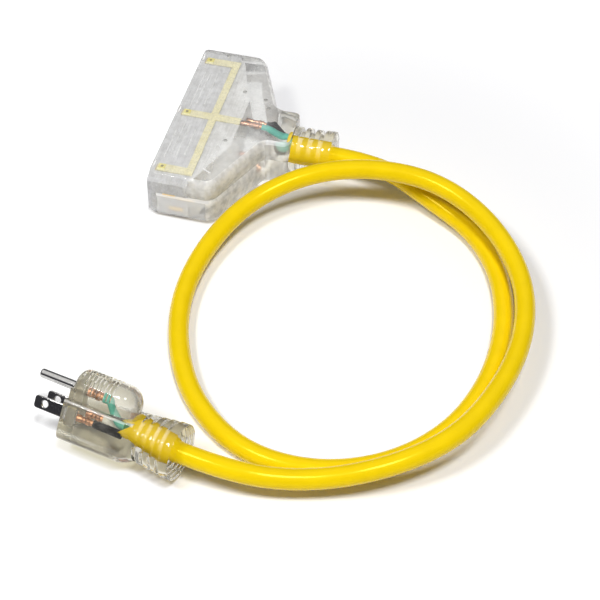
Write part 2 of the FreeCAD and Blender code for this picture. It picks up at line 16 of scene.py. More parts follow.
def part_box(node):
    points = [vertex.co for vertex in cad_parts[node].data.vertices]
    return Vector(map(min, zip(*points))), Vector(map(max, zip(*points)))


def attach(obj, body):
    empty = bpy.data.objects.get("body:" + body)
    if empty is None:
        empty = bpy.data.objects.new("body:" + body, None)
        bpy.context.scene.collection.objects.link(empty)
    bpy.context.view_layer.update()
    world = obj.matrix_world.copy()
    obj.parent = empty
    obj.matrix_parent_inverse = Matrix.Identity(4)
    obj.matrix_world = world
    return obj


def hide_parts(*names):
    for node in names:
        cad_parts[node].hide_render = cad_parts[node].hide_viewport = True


bl_info = {
    "name": "Extension cord",
    "version": (1, 0, 0),
    "blender": (4, 5, 0),
    "location": "3D View > Sidebar > Extension cord",
    "description": "Models a short extension cord with a clear three-outlet block and a clear plug",
    "category": "Object",
}

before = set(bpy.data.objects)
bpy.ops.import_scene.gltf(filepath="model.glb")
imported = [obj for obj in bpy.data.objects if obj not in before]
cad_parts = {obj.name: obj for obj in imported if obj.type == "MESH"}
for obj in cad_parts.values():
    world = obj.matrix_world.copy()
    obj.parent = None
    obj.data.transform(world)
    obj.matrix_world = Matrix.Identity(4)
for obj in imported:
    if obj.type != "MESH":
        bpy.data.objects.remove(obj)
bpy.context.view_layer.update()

MM = 0.001
BODY = "root"
FLOOR_SINK = 0.1 * MM
CUT_SLACK = 0.02 * MM

# How near an edge or vertex has to be when it is picked by its place
HAIR = 0.01 * MM

# The free cord's route in millimetres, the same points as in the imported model
CORD_ROUTE = (
    (44, 0, 15), (71, 0, 15), (100, -14, 10), (128, -29, 6.3), (147, -56, 5.3),
    (156.5, -92, 5.2), (155.5, -130, 5.2), (144, -165, 5.2), (120, -192, 5.2), (87, -206, 5.2),
    (51, -203, 5.2), (21, -181, 5.2), (2, -150, 5.2), (-8, -113, 6), (-5, -76, 8.5),
    (10, -44, 15), (38, -23, 22.5), (72, -16, 27.3), (106, -18, 26.5), (137, -36, 22.5),
    (160, -67, 18.5), (168, -104, 18), (163.5, -143, 19), (149, -180, 19.5), (121, -204, 16.5),
    (86, -217, 11.5), (52.04, -224.18, 15.79), (25.6, -218.7, 15.79),
)

# How the plug lies, in degrees about Z and then about its own axis
PLUG_YAW = -11.7
PLUG_ROLL = -36.5

PLUG_PIECES = (
    "plug_body", "plug_line_blade", "plug_neutral_blade", "plug_ground_pin", "plug_jacket_slanted_end",
    "plug_ground_pressed_crimp", "plug_line_pressed_crimp", "plug_neutral_pressed_crimp")

# Sides of the block from its widest line: share of the height to the ledge or top, then share of the bulge
LOWER_RISE = ((0.92, 0.8), (1.0, 0.35))
LOWER_FALL = ((0.27, 0.95), (0.2, 0.8), (0.15, 0.5), (0.0, -1.1))
LOWER_WIDEST = 0.6
UPPER_FALL = ((0.09, 0.8), (0.0, 0.35))
UPPER_RISE = ((0.65, 0.85), (0.85, 0.5), (0.96, 0.1), (1.0, -0.15))
UPPER_WIDEST = 0.4

# The outline is drawn out into this thin band before it is built up and down
THIN_BAND = 0.02 * MM

# Lengths of the block's outline from the front and from the neck's end that keep their place as it narrows
FRONT_ZONE = 12 * MM
NECK_END_ZONE = 8 * MM

# The block behind the insert: outlet face to where it draws in, and half its width at its far side
BACKER_TURN = 24 * MM
BACKER_END_HALF = 19 * MM

# Round marks that the mould's pins left on top of the block: places along X and Y in millimetres
PIN_MARKS = ((-28.9, 49.8), (-11.6, 22.2), (1.2, 18.5), (4.6, 12.3), (-10.9, -18.7))

# Legs of the ground strip along Y in millimetres, and how far from the outlet face their tips are pierced
STRIP_LEGS = (-45.0, 0.0, 45.0)
TIP_DEPTH = 5.9

# Slots along the top front edge of the block, one at each leg: half their length, and from and to along X
SLOT_HALF = 2.5
SLOT_DEPTHS = (1.2, 2.4)

# Tip of a strip's leg in millimetres: half its length, from and to across it, and its hole's radius and place
TIP_HALF = 1.95
TIP_SPAN = (-2.2, 2.3)
LIP_SPAN = (-2.3, -1.1)
TIP_HOLE = (0.8, 0.6)

# Thin rails on top of the insert and of the block behind it, from and to along X and Y in millimetres
INSERT_RAILS = (
    (-38.0, 3.0, -38.0, 35.0), (-35.2, 8.0, -35.2, 34.0), (-31.0, 8.0, -31.0, 36.0),
    (-39.4, -37.0, -39.4, -15.0), (-36.6, -34.0, -36.6, -5.0), (-33.5, -36.0, -33.5, -9.0),
    (-29.5, -33.0, -29.5, -12.0),
    (-15.1, -20.6, -8.4, -24.6), (-17.1, -40.0, -11.8, -42.9),
)
RAIL_HALF = 0.4 * MM
RAIL_HEIGHT = 0.5 * MM

# Where the inner strips come through the near end of the insert, in millimetres: X and Z, from and to
STRIP_ENDS = ((-35.8, -28.7, 15.0, 17.0), (-28.1, -18.2, 14.7, 16.3), (-32.3, -24.7, 6.9, 9.2))

# Strain reliefs: the share of each pitch that is rib, how far the webs between ribs lie below them, where the
# grooves run round in degrees from +Y towards +Z, how many degrees the plug's are turned on and how deep they
# are, and over how many degrees the upper part of the webs is painted pale and cloudy, a painted highlight
RIB_SHARE = 0.55
WEB_DIP = 0.18 * MM
GROOVE_ARCS = ((-5, 105), (175, 285))
PLUG_GROOVE_TURN = 18.0
PLUG_GROOVE_DEPTH = 2 * MM
WEB_HIGHLIGHT_ARC = 50.0

# Part of the plug's strain relief that faces the floor, in degrees from +Y towards +Z
UNDERSIDE = (215, 300)

# The plug's jacket end: its cut from the face, how far up its slant starts, the knee it bends at and its rise
JACKET_CUT = 25 * MM
SLANT_START = 5.5 * MM
SLANT_NORMAL = (-0.74, 0.0, 0.67)
JACKET_KNEE = -6 * MM
JACKET_RISE = 8.0

# Rounding of the ground pin's tip, and its radius inside the plug
PIN_NOSE = 1.3 * MM
PIN_TAIL_RADIUS = 2 * MM

# A crimp from end to end: share of its length and share of its radius
CRIMP_STEPS = (
    (0.0, 0.82), (0.05, 1.0), (0.28, 1.0), (0.36, 0.8), (0.46, 0.8), (0.5, 0.9), (0.54, 0.8), (0.64, 0.8),
    (0.72, 1.0), (0.95, 1.0), (1.0, 0.82))

# Areas of the block with a finish of their own: how far behind the outlet face they start and end
END_SPAN = (6 * MM, 34 * MM)
SHOULDER_SPAN = (6 * MM, 40 * MM)
SLANT_SPAN = (32 * MM, 54 * MM)
NECK_START = 44 * MM
NECK_EDGE_START = 46 * MM

# Their other bounds: height of the neck's top edge, far end along Y, half the height of the area at the ledge
# and height of the area at the base
NECK_EDGE_HEIGHT = 28.5 * MM
FAR_END = 50 * MM
LEDGE_BAND = 1.15 * MM
BASE_EDGE = 1.3 * MM

# Clear finishes: tint, or the colour in the panel that it follows, haze, and tint of the light that it lets
# through. A cloudy one adds its least and most clarity, where its cloudy end stops and where its clear end
# starts, and the axis that they lie along. A veil adds where it starts and is full along X, and the shares of
# clarity that it leaves near the middle line and away from it
PALE = (0.94, 0.94, 0.93)

# Cloudy all over, because its clear end would lie beyond the block
ALL_CLOUDY = (0.3, 0.62, 100 * MM, 200 * MM)
BLOCK_PLASTICS = {
    "block": (
        "block_plastic", 0.03, PALE, (0.80, 0.92, 4 * MM, 12 * MM), "X", (-18 * MM, -8 * MM, 0.98, 0.74)),
    "relief": ("plug_plastic", 0.01, (0.88, 0.87, 0.82)),
    # The webs' finish is pale and cloudiest at the top, fading downwards along Z: a painted highlight
    "web": ((1.0, 0.99, 0.90), 0.01, (0.88, 0.87, 0.82), (0.72, 0.84, 27.5 * MM, 20.5 * MM), "Z"),
    # A hazy white band along the ledge and along the neck's top edge: a painted highlight
    "ledge": ((0.97, 0.97, 0.97), 0.6, PALE),
    "side": ((0.98, 0.97, 0.94), 0.6, PALE, ALL_CLOUDY),
    "far": ((0.98, 0.97, 0.94), 0.6, (0.62, 0.62, 0.64), ALL_CLOUDY),
    "shoulder": ((0.98, 0.98, 0.97), 0.08, PALE, (0.4, 0.65, -18 * MM, -26 * MM)),
    "neck": ((0.90, 0.88, 0.82), 0.35, PALE),
    "end": ((0.98, 0.98, 0.97), 0.35, PALE),
    "slot": ((1.0, 1.0, 1.0), 0.95, PALE),
    # Dark grey hazy faces in the mould's pin marks: painted shade in the shallow recesses
    "mark": ((0.45, 0.45, 0.43), 0.6, PALE),
    "base": ("block_plastic", 0.15, (0.45, 0.42, 0.38)),
}
PLUG_PLASTICS = {
    "plug": ("plug_plastic", 0.01, (0.77, 0.75, 0.65), (0.92, 0.98, -4 * MM, 4 * MM)),
    # The plug's webs are pale and cloudiest at the top, fading downwards along Z: a painted highlight
    "plug_web": ((1.0, 0.98, 0.86), 0.01, (0.77, 0.75, 0.65), (0.74, 0.84, 29 * MM, 23.5 * MM), "Z"),
    # Hazy pale faces on the upper side of the grip grooves and along the ledge's rounded edge: a painted
    # highlight
    "groove": ((0.95, 0.94, 0.90), 0.3, (0.72, 0.70, 0.61)),
    "dome": ((0.92, 0.90, 0.83), 0.2, (0.72, 0.70, 0.61)),
    "under": ("plug_plastic", 0.01, (0.5, 0.46, 0.36)),
}

# How far from the middle line a veil's second share starts and is full
VEIL_FROM = 9 * MM
VEIL_TO = 20 * MM

# Lamps: name, place, side of the square and watts. Both point at the middle of the cord
LAMPS = (
    ("left_lamp", (-0.75, -0.90, 1.9), 0.42, 20.6),
    ("right_lamp", (0.45, -0.75, 2.0), 0.42, 28.8),
)
LAMP_AIM = (0.05, -0.1, 0.0)

# The camera that took the photo: place, aim and focal length on a 36 mm sensor
CAMERA_PLACE = (0.2265, -0.7617, 0.7238)
CAMERA_AIM = (0.0503, -0.0946, 0.0)
CAMERA_LENS = 117.0

# The floor glows to white away from the object. One glow goes by the distance from the floor's dark middle,
# the other by the place along X: each has where it starts and ends, and its strength at both
GLOW_MIDDLE = (0.06, -0.09, 0.0)
GLOW_ROUND = (0.14, 0.36, 0.0, 0.3)
# The glow along X also whitens the floor left of the plug, over the blades' shadow: painted light
GLOW_LEFT = (-0.075, -0.02, 0.35, 0.0)
FLOOR_RADIUS = 4.0


# ---- Sizes and colours ----

def length(label, about, value):
    return FloatProperty(name=label, description=about, default=value * MM, unit="LENGTH", precision=5)


def colour(label, about, value):
    return FloatVectorProperty(
        name=label, description=about, default=value, subtype="COLOR", size=3, min=0.0, max=1.0)


class BlockSizes(PropertyGroup):
    length: length("Length", "Block from the face with the outlets to the cord", 88.0)
    height: length("Height", "Height of the block", 30.0)
    mark_radius: length("Mark radius", "Round marks that the mould's pins left", 1.1)
    mark_depth: length("Mark depth", "Depth of those marks", 0.5)
    half_width: length("Half width", "Half the width of the block at its top", 52.5)
    side_bulge: length("Side bulge", "How far the sides swell beyond the top", 2.5)
    front_bulge: length("Front bulge", "How far the outlet face swells", 0.8)
    ledge: length("Ledge height", "Height of the parting ledge", 17.0)
    shoulder_depth: length("Shoulder depth", "Outlet face to where the sides turn in", 33.5)
    root_depth: length("Neck root depth", "Outlet face to the start of the neck", 52.0)
    neck_depth: length("Neck end depth", "Outlet face to the end of the neck", 66.5)
    neck_half_width: length("Neck half width", "Half the width of the neck", 12.8)
    front_corner: length("Front corner", "Radius of the front corners", 3.0)
    shoulder_corner: length("Shoulder corner", "Radius of the shoulders", 5.0)
    root_corner: length("Neck root corner", "Radius where the neck starts", 8.0)
    neck_corner: length("Neck corner", "Radius at the end of the neck", 3.0)
    rib_radius: length("Rib radius", "Radius of the strain relief's ribs", 12.7)
    core_radius: length("Core radius", "Radius of the strain relief in its grooves", 10.4)
    flange_radius: length("Flange radius", "Radius of the end flange", 13.2)
    flange_length: length("Flange length", "Length of the end flange", 5.0)
    rib_count: IntProperty(name="Ribs", description="Ribs on the strain relief", default=3, min=1)


class PlugSizes(PropertyGroup):
    length: length("Length", "Plug from its face to the cord", 58.5)
    body_length: length("Body length", "Face to the end of the lower body", 38.0)
    half_width: length("Half width", "Half the width of the lower body", 13.0)
    bottom: length("Bottom", "Axis to the underside", 13.0)
    ledge: length("Ledge", "Axis to the top of the lower body", 8.0)
    bottom_radius: length("Bottom radius", "Radius of the underside's edges", 6.0)
    ledge_radius: length("Ledge radius", "Radius of the ledge's edges", 1.2)
    full_length: length("Full length", "Face to where the body draws in", 22.0)
    start_radius: length("Start radius", "Radius of the drawn-in part at its start", 17.5)
    end_radius: length("End radius", "Radius of the drawn-in part at its end", 11.4)
    bump_axis: length("Bump axis", "Height of the axis of the back over the pin", 13.0)
    bump_radius: length("Bump radius", "Radius of the back over the pin", 9.0)
    bump_length: length("Bump length", "Length of the back over the pin", 33.5)
    bump_front: length("Bump front", "Radius of its front edge", 4.0)
    grip_start: length("Grip start", "Face to the first grip ring", 6.0)
    grip_pitch: length("Grip pitch", "Spacing of the grip rings", 2.1)
    grip_land: length("Grip land", "Length of each grip ring", 1.35)
    grip_drop: length("Grip drop", "Depth between the grip rings", 0.7)
    grip_count: IntProperty(name="Grip rings", description="Grip rings over the pin", default=8, min=1)
    relief_root: length("Relief root", "Face to the start of the strain relief", 36.0)
    rib_radius: length("First rib", "Radius of the first rib", 11.8)
    rib_end_radius: length("Last rib", "Radius of the last rib", 13.4)
    core_radius: length("Core radius", "Radius where the strain relief starts", 10.0)
    flange_radius: length("Flange radius", "Radius of the end flange", 13.9)
    flange_length: length("Flange length", "Length of the end flange", 4.6)
    rib_count: IntProperty(name="Ribs", description="Ribs on the strain relief", default=4, min=1)


class MetalSizes(PropertyGroup):
    blade_width: length("Blade width", "Width of a blade", 6.35)
    blade_thickness: length("Blade thickness", "Thickness of a blade", 1.52)
    blade_length: length("Blade length", "Blade outside the plug", 17.5)
    blade_tail: length("Blade tail", "Blade inside the plug", 6.4)
    blade_spacing: length("Blade spacing", "Middle to middle of the blades", 12.7)
    hole_radius: length("Hole radius", "Hole near a blade's tip", 1.8)
    hole_offset: length("Hole offset", "Face of the plug to the hole", 11.9)
    tip_radius: length("Tip radius", "Corners of a blade's tip", 1.5)
    pin_radius: length("Pin radius", "Ground pin", 2.38)
    pin_length: length("Pin length", "Ground pin outside the plug", 21.0)
    pin_tail: length("Pin tail", "Ground pin inside the plug", 6.0)
    pin_height: length("Pin height", "Line of the blades to the ground pin", 11.9)
    crimp_radius: length("Crimp radius", "Barrel of a crimp", 1.8)
    crimp_length: length("Crimp length", "Crimp in the plug", 7.5)


class CordSizes(PropertyGroup):
    diameter: length("Diameter", "Diameter of the yellow jacket", 10.4)
    free_length: length("Length", "Cord between the two moulded ends", 952.0)


class Finishes(PropertyGroup):
    block_plastic: colour("Block plastic", "Clear plastic of the outlet block", (0.90, 0.90, 0.885))
    plug_plastic: colour("Plug plastic", "Clear plastic of the plug", (0.87, 0.85, 0.77))
    insert: colour("Insert", "Frosted insert that holds the contacts", (0.66, 0.66, 0.67))
    jacket: colour("Jacket", "Outer jacket of the cord", (0.87, 0.615, 0.004))
    ground_wire: colour("Ground wire", "Insulation of the ground wire", (0.12, 0.51, 0.42))
    line_wire: colour("Line wire", "Insulation of the line wire", (0.012, 0.012, 0.013))
    neutral_wire: colour("Neutral wire", "Insulation of the neutral wire", (0.80, 0.79, 0.76))
    ground_strip: colour("Ground strip", "Comb-shaped strip on the insert", (0.90, 0.83, 0.50))
    brass: colour("Brass", "Contacts and inner strips", (0.72, 0.56, 0.25))
    copper: colour("Copper", "Conductors and crimps", (0.72, 0.38, 0.22))
    nickel: colour("Nickel", "Plug blades and ground pin", (0.50, 0.49, 0.48))
    floor: colour("Floor", "Floor under the cord", (0.95, 0.95, 0.955))


# ---- Modelling steps shared by the pieces ----

def clear_selection():
    if bpy.context.object and bpy.context.object.mode != "OBJECT":
        bpy.ops.object.mode_set(mode="OBJECT")
    bpy.ops.object.select_all(action="DESELECT")


def take_up(*pieces):
    """Selects the pieces and makes the first one active."""
    clear_selection()
    for piece in pieces:
        piece.select_set(True)
    bpy.context.view_layer.objects.active = pieces[0]


def edit(piece):
    take_up(piece)
    bpy.ops.object.mode_set(mode="EDIT")


def choose(kind, test):
    """Selects the verts, edges or faces of the mesh being edited whose middle and self pass the test."""
    kinds = ("verts", "edges", "faces")
    bpy.context.tool_settings.mesh_select_mode = [kind == one for one in kinds]
    data = bpy.context.object.data
    mesh = bmesh.from_edit_mesh(data)
    for one in kinds:
        for element in getattr(mesh, one):
            element.select = False
    for element in getattr(mesh, kind):
        if kind == "verts":
            middle = element.co
        elif kind == "edges":
            middle = (element.verts[0].co + element.verts[1].co) / 2
        else:
            middle = element.calc_center_median()
        if test(middle, element):
            element.select_set(True)
    mesh.select_flush_mode()
    bmesh.update_edit_mesh(data)


def runs_along(edge):
    """Whether an edge follows X for more than 5 mm."""
    return abs(edge.verts[0].co.x - edge.verts[1].co.x) > 5 * MM


def shift(x=0.0, y=0.0, z=0.0):
    bpy.ops.transform.translate(value=(x, y, z))


def extrude(x=0.0, y=0.0, z=0.0):
    bpy.ops.mesh.extrude_region_move(TRANSFORM_OT_translate={"value": (x, y, z)})


def scale(x=1.0, y=1.0, z=1.0, about=(0.0, 0.0, 0.0)):
    bpy.ops.transform.resize(value=(x, y, z), center_override=about)


def face_outwards(weld=0.001 * MM):
    """Welds points that lie together in the mesh being edited and turns its faces outwards."""
    bpy.ops.mesh.select_all(action="SELECT")
    bpy.ops.mesh.remove_doubles(threshold=weld)
    bpy.ops.mesh.normals_make_consistent(inside=False)


def settle(piece, name):
    """Leaves the edit, puts the piece's place into its mesh and names it."""
    take_up(piece)
    bpy.ops.object.transform_apply(location=True, rotation=True, scale=True)
    piece.name = name
    piece.data.name = name
    return piece


def apply_modifier(piece, kind, **settings):
    take_up(piece)
    step = piece.modifiers.new("Step", kind)
    for name, value in settings.items():
        setattr(step, name, value)
    bpy.ops.object.modifier_apply(modifier=step.name)


def bevel_edges(piece, width, segments=2, angle=30.0):
    """Rounds the sharp edges of a piece."""
    apply_modifier(
        piece, "BEVEL", width=width, segments=segments, limit_method="ANGLE", angle_limit=math.radians(angle))


def merge_with(piece, other, how):
    """Joins another solid to the piece, cuts it out, or keeps what they share. The other is used up."""
    apply_modifier(piece, "BOOLEAN", operation=how, solver="EXACT", object=other, material_mode="TRANSFER")
    bpy.data.objects.remove(other)


def smooth(piece, angle=40.0):
    take_up(piece)
    bpy.ops.object.shade_smooth_by_angle(angle=math.radians(angle))


def dress(piece, material):
    piece.data.materials.clear()
    piece.data.materials.append(material)


def dress_node(name, material):
    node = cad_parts[name]
    if not node.material_slots:
        node.data.materials.append(material)
    for slot in node.material_slots:
        slot.material = material


def repaint(piece, material, test):
    """Gives the faces whose middle and self pass the test a finish of their own."""
    slots = piece.data.materials
    if material.name not in slots:
        slots.append(material)
    number = slots.find(material.name)
    for face in piece.data.polygons:
        if test(face.center, face):
            face.material_index = number


def box_piece(low, high):
    """A block between two corners, still to be shaped."""
    clear_selection()
    middle = [(a + b) / 2 for a, b in zip(low, high)]
    bpy.ops.mesh.primitive_cube_add(size=1, location=middle)
    piece = bpy.context.object
    piece.scale = [b - a for a, b in zip(low, high)]
    return settle(piece, "block")


def round_piece(sides, radius, depth, place, turn=(0.0, 0.0, 0.0)):
    """A cylinder, upright unless it is turned, still to be shaped or to cut with."""
    clear_selection()
    bpy.ops.mesh.primitive_cylinder_add(
        vertices=sides, radius=radius, depth=depth, location=place, rotation=turn)
    return settle(bpy.context.object, "round")


def turned_piece(steps, height, sides):
    """A round piece about a line along X, drawn out from a disc through steps of place and radius."""
    clear_selection()
    first_x, first_r = steps[0]
    bpy.ops.mesh.primitive_circle_add(
        vertices=sides, radius=first_r, fill_type="NGON", location=(first_x, 0, height),
        rotation=(math.pi / 2, 0, math.pi / 2))
    piece = settle(bpy.context.object, "turned")
    edit(piece)
    bpy.ops.mesh.select_all(action="SELECT")
    here_x, here_r = first_x, first_r
    for next_x, next_r in steps[1:]:
        extrude(x=next_x - here_x)
        grow = next_r / here_r
        scale(y=grow, z=grow, about=(next_x, 0, height))
        here_x, here_r = next_x, next_r
    face_outwards()
    clear_selection()
    return piece


def quarter_turn(count):
    """Sines and cosines of even steps from 0 to 90 degrees."""
    turns = [math.radians(90 * step / count) for step in range(count + 1)]
    return [(math.sin(turn), math.cos(turn)) for turn in turns]


def join_up(pieces):
    """Makes one object of several pieces."""
    take_up(*pieces)
    bpy.ops.object.join()
    return pieces[0]


def copy_of(piece):
    take_up(piece)
    bpy.ops.object.duplicate()
    return bpy.context.object


def with_slack(low, high):
    """Two corners moved a little apart, so that a hollow clears what it holds."""
    slack = Vector((CUT_SLACK, CUT_SLACK, CUT_SLACK))
    return low - slack, high + slack


def lay_plug(piece):
    """Moves a piece from the plug's own frame to where the plug lies."""
    take_up(piece)
    turn = Matrix.Rotation(math.radians(PLUG_YAW), 4, "Z") @ Matrix.Rotation(math.radians(PLUG_ROLL), 4, "X")
    piece.matrix_world = Matrix.Translation(Vector(CORD_ROUTE[-1]) * MM) @ turn
    bpy.ops.object.transform_apply(location=True, rotation=True, scale=True)


def link_object(name, data):
    """A new object in the scene for a curve, lamp or camera."""
    holder = bpy.data.objects.new(name, data)
    bpy.context.scene.collection.objects.link(holder)
    return holder


def look_at(holder, place, aim):
    """Puts a lamp or camera at a place and points it."""
    holder.location = place
    holder.rotation_euler = (Vector(aim) - Vector(place)).to_track_quat("-Z", "Y").to_euler()


# ---- Finishes ----

def feed(tree, node, inputs):
    """Links or sets a node's inputs, given by name or number. A colour gets full opacity."""
    for name, value in inputs.items():
        socket = node.inputs[name]
        if isinstance(value, bpy.types.NodeSocket):
            tree.links.new(value, socket)
        elif isinstance(value, tuple) and len(value) < len(socket.default_value):
            socket.default_value = (*value, 1.0)
        else:
            socket.default_value = value


def add_node(tree, kind, inputs=None, **settings):
    node = tree.nodes.new("ShaderNode" + kind)
    for name, value in settings.items():
        setattr(node, name, value)
    feed(tree, node, inputs or {})
    return node


def new_finish(name):
    """A material with its node tree and main shader at hand."""
    finish = bpy.data.materials.new(name)
    finish.use_nodes = True
    return finish, finish.node_tree, finish.node_tree.nodes["Principled BSDF"]


def show(tree, shader):
    """Makes a shader the one that the material shows."""
    tree.links.new(shader.outputs[0], tree.nodes["Material Output"].inputs["Surface"])


def speckle(tree, size, detail=3.0, stretch=(1.0, 1.0, 1.0)):
    """A noise on Object coordinates whose grains are about this many metres across."""
    place = add_node(tree, "TexCoord").outputs["Object"]
    spread = add_node(tree, "Mapping", {"Vector": place, "Scale": stretch}).outputs["Vector"]
    noise = {"Vector": spread, "Scale": 1.0 / size, "Detail": detail}
    return add_node(tree, "TexNoise", noise).outputs["Fac"]


def spread_between(tree, factor, *stops):
    """A colour ramp driven by a factor, through stops of place and tint."""
    ramp = add_node(tree, "ValToRGB", {"Fac": factor})
    elements = ramp.color_ramp.elements
    for number, (place, tint) in enumerate(stops):
        stop = elements[number] if number < 2 else elements.new(place)
        stop.position = place
        stop.color = (*tint, 1.0)
    return ramp.outputs["Color"]


def blend_tints(tree, factor, first, second, blend="MIX"):
    """Mixes two colours, each a socket or a plain colour."""
    inputs = {0: factor, 6: first, 7: second}
    return add_node(tree, "Mix", inputs, data_type="RGBA", blend_type=blend).outputs[2]


def calculate(tree, how, *values):
    """One sum with numbers or sockets."""
    return add_node(tree, "Math", dict(enumerate(values)), operation=how).outputs[0]


def fade(tree, value, start, end, low, high):
    """A number that goes from low to high as the value goes from start to end."""
    inputs = {"Value": value, "From Min": start, "From Max": end, "To Min": low, "To Max": high}
    return add_node(tree, "MapRange", inputs, interpolation_type="SMOOTHSTEP").outputs["Result"]


def place_along(tree, axis, kind="Object"):
    """Where a point lies along one axis, in metres of the piece unless another kind of place is asked for."""
    place = add_node(tree, "TexCoord").outputs[kind]
    return add_node(tree, "SeparateXYZ", {"Vector": place}).outputs[axis]


def roughen(tree, shader, factor, height):
    bump = add_node(tree, "Bump", {"Distance": height, "Height": factor})
    feed(tree, shader, {"Normal": bump.outputs["Normal"]})


def shaded(tint, share):
    return tuple(channel * share for channel in tint)


def surroundings(tree):
    """A dim studio under one large pale screen, which metal and gloss mirror, seen as white by the camera."""
    screen = spread_between(
        tree, place_along(tree, "Z", "Generated"),
        (0.0, (0.06, 0.06, 0.07)), (0.55, (0.08, 0.08, 0.09)), (0.78, (0.95, 0.95, 0.95)))
    path = add_node(tree, "LightPath").outputs
    seen = blend_tints(tree, path["Is Transmission Ray"], screen, (0.85, 0.85, 0.85))
    seen = blend_tints(tree, path["Diffuse Depth"], seen, (0.08, 0.08, 0.085))
    seen = blend_tints(tree, path["Is Camera Ray"], seen, (1.0, 1.0, 1.0))
    feed(tree, tree.nodes["Background"], {"Color": seen})


def let_lamps_through(tree, shader, tint, share=1.0):
    """Lets the lamps' light pass, or a share of it, so that what is inside and behind is lit."""
    path = add_node(tree, "LightPath").outputs
    if share < 1.0:
        part = calculate(tree, "MULTIPLY", path["Is Shadow Ray"], share)
    else:
        part = calculate(tree, "MAXIMUM", path["Is Shadow Ray"], path["Diffuse Depth"])
    clear = add_node(tree, "BsdfTransparent", {"Color": tint})
    show(tree, add_node(tree, "MixShader", {0: part, 1: shader.outputs[0], 2: clear.outputs[0]}))


def clear_plastic(name, tint, haze, shadow, milky=None, axis="X", veiled=None):
    """Soft clear plastic with a slight haze and a faintly uneven skin, cloudy or veiled if asked for."""
    finish, tree, shader = new_finish(name)
    tone = spread_between(tree, speckle(tree, 6 * MM), (0.35, shaded(tint, 0.97)), (0.7, tint))
    clarity = 1.0 - haze
    if milky:
        least, most, stop, start = milky
        mottle = fade(tree, speckle(tree, 4 * MM, 4.0), 0.3, 0.7, least, most)
        clarity = fade(tree, place_along(tree, axis), stop, start, mottle, clarity)
    if veiled:
        from_x, to_x, near_share, far_share = veiled
        away = calculate(tree, "ABSOLUTE", place_along(tree, "Y"))
        veil = fade(tree, away, VEIL_FROM, VEIL_TO, near_share, far_share)
        veil = fade(tree, place_along(tree, "X"), from_x, to_x, 1.0, veil)
        clarity = calculate(tree, "MULTIPLY", clarity, veil)
    feed(tree, shader, {"Base Color": tone, "Roughness": 0.08, "IOR": 1.4, "Transmission Weight": clarity})
    roughen(tree, shader, speckle(tree, 3 * MM), 0.03 * MM)
    let_lamps_through(tree, shader, shadow)
    return finish


def clear_plastics(table, looks):
    """The clear finishes of a table by their names in it."""
    finishes = {}
    for kind, (tint, *rest) in table.items():
        if isinstance(tint, str):
            tint = getattr(looks, tint)
        finishes[kind] = clear_plastic("clear_" + kind + "_plastic", tint, *rest)
    return finishes


def hidden_joint(name):
    """The inside of the clear body where it is bonded to the insert: it neither bends nor mirrors light."""
    finish, tree, shader = new_finish(name)
    tree.nodes.remove(shader)
    show(tree, add_node(tree, "BsdfTransparent"))
    return finish


def frosted(name, tint, through, fine):
    """Frosted white plastic with fine streaks that follow the outlets' face, and cloudy blotches."""
    finish, tree, shader = new_finish(name)
    streaks = speckle(tree, fine, 3.0, (1.0, 0.06, 1.0))
    tone = spread_between(tree, streaks, (0.36, shaded(tint, 0.86)), (0.6, tint))
    blotch = spread_between(
        tree, speckle(tree, 3 * MM, 5.0), (0.36, (0.86, 0.855, 0.84)), (0.6, (1.0, 1.0, 1.0)))
    feed(tree, shader, {
        "Base Color": blend_tints(tree, 1.0, tone, blotch, "MULTIPLY"), "Roughness": 0.35, "IOR": 1.1,
        "Transmission Weight": through, "Subsurface Weight": 0.7, "Subsurface Radius": (1.0, 1.0, 1.0),
        "Subsurface Scale": 6 * MM})
    let_lamps_through(tree, shader, (0.95, 0.95, 0.95), 0.75)
    return finish


def jacket_finish(name, tint, gloss):
    """Yellow jacket with a faintly uneven skin, glossy where it is bare and not where it is moulded in."""
    finish, tree, shader = new_finish(name)
    tone = spread_between(tree, speckle(tree, 12 * MM), (0.3, shaded(tint, 0.93)), (0.7, tint))
    feed(tree, shader, {
        "Base Color": tone, "Roughness": 0.2, "Specular IOR Level": gloss, "Specular Tint": (1.0, 0.8, 0.12)})
    roughen(tree, shader, speckle(tree, 2 * MM, 4.0), 0.02 * MM)
    return finish


def insulation(name, tint):
    """Smooth insulation of a wire with a faintly uneven colour."""
    finish, tree, shader = new_finish(name)
    tone = spread_between(tree, speckle(tree, 4 * MM), (0.3, shaded(tint, 0.85)), (0.7, tint))
    feed(tree, shader, {"Base Color": tone, "Roughness": 0.5, "Specular IOR Level": 0.05})
    return finish


def metal(name, tint, rough, metallic=1.0, grain=0.8 * MM, depth=0.01 * MM, worn=None):
    """Metal with slight tarnish and fine marks, and a worn tint in some of its grains."""
    finish, tree, shader = new_finish(name)
    cloud = speckle(tree, grain, 5.0)
    tone = spread_between(tree, cloud, (0.3, worn or shaded(tint, 0.8)), (0.65, tint))
    feed(tree, shader, {"Base Color": tone, "Metallic": metallic, "Roughness": rough})
    roughen(tree, shader, cloud, depth)
    return finish


def floor_finish(tint):
    """Matt floor that keeps the cord's shadow and glows to white further away, for the camera alone."""
    finish, tree, shader = new_finish("floor_finish")
    tree.nodes.remove(shader)
    matt = add_node(tree, "BsdfDiffuse", {"Color": tint}).outputs[0]
    place = add_node(tree, "TexCoord").outputs["Object"]
    distance = add_node(tree, "VectorMath", {0: place, 1: GLOW_MIDDLE}, operation="DISTANCE").outputs["Value"]
    strength = calculate(
        tree, "MAXIMUM", fade(tree, distance, *GLOW_ROUND), fade(tree, place_along(tree, "X"), *GLOW_LEFT))
    glow = add_node(tree, "Emission", {"Strength": strength}).outputs[0]
    lifted = add_node(tree, "AddShader", {0: matt, 1: glow}).outputs[0]
    seen = add_node(tree, "LightPath").outputs["Is Camera Ray"]
    show(tree, add_node(tree, "MixShader", {0: seen, 1: matt, 2: lifted}))
    return finish


# ---- Pieces ----

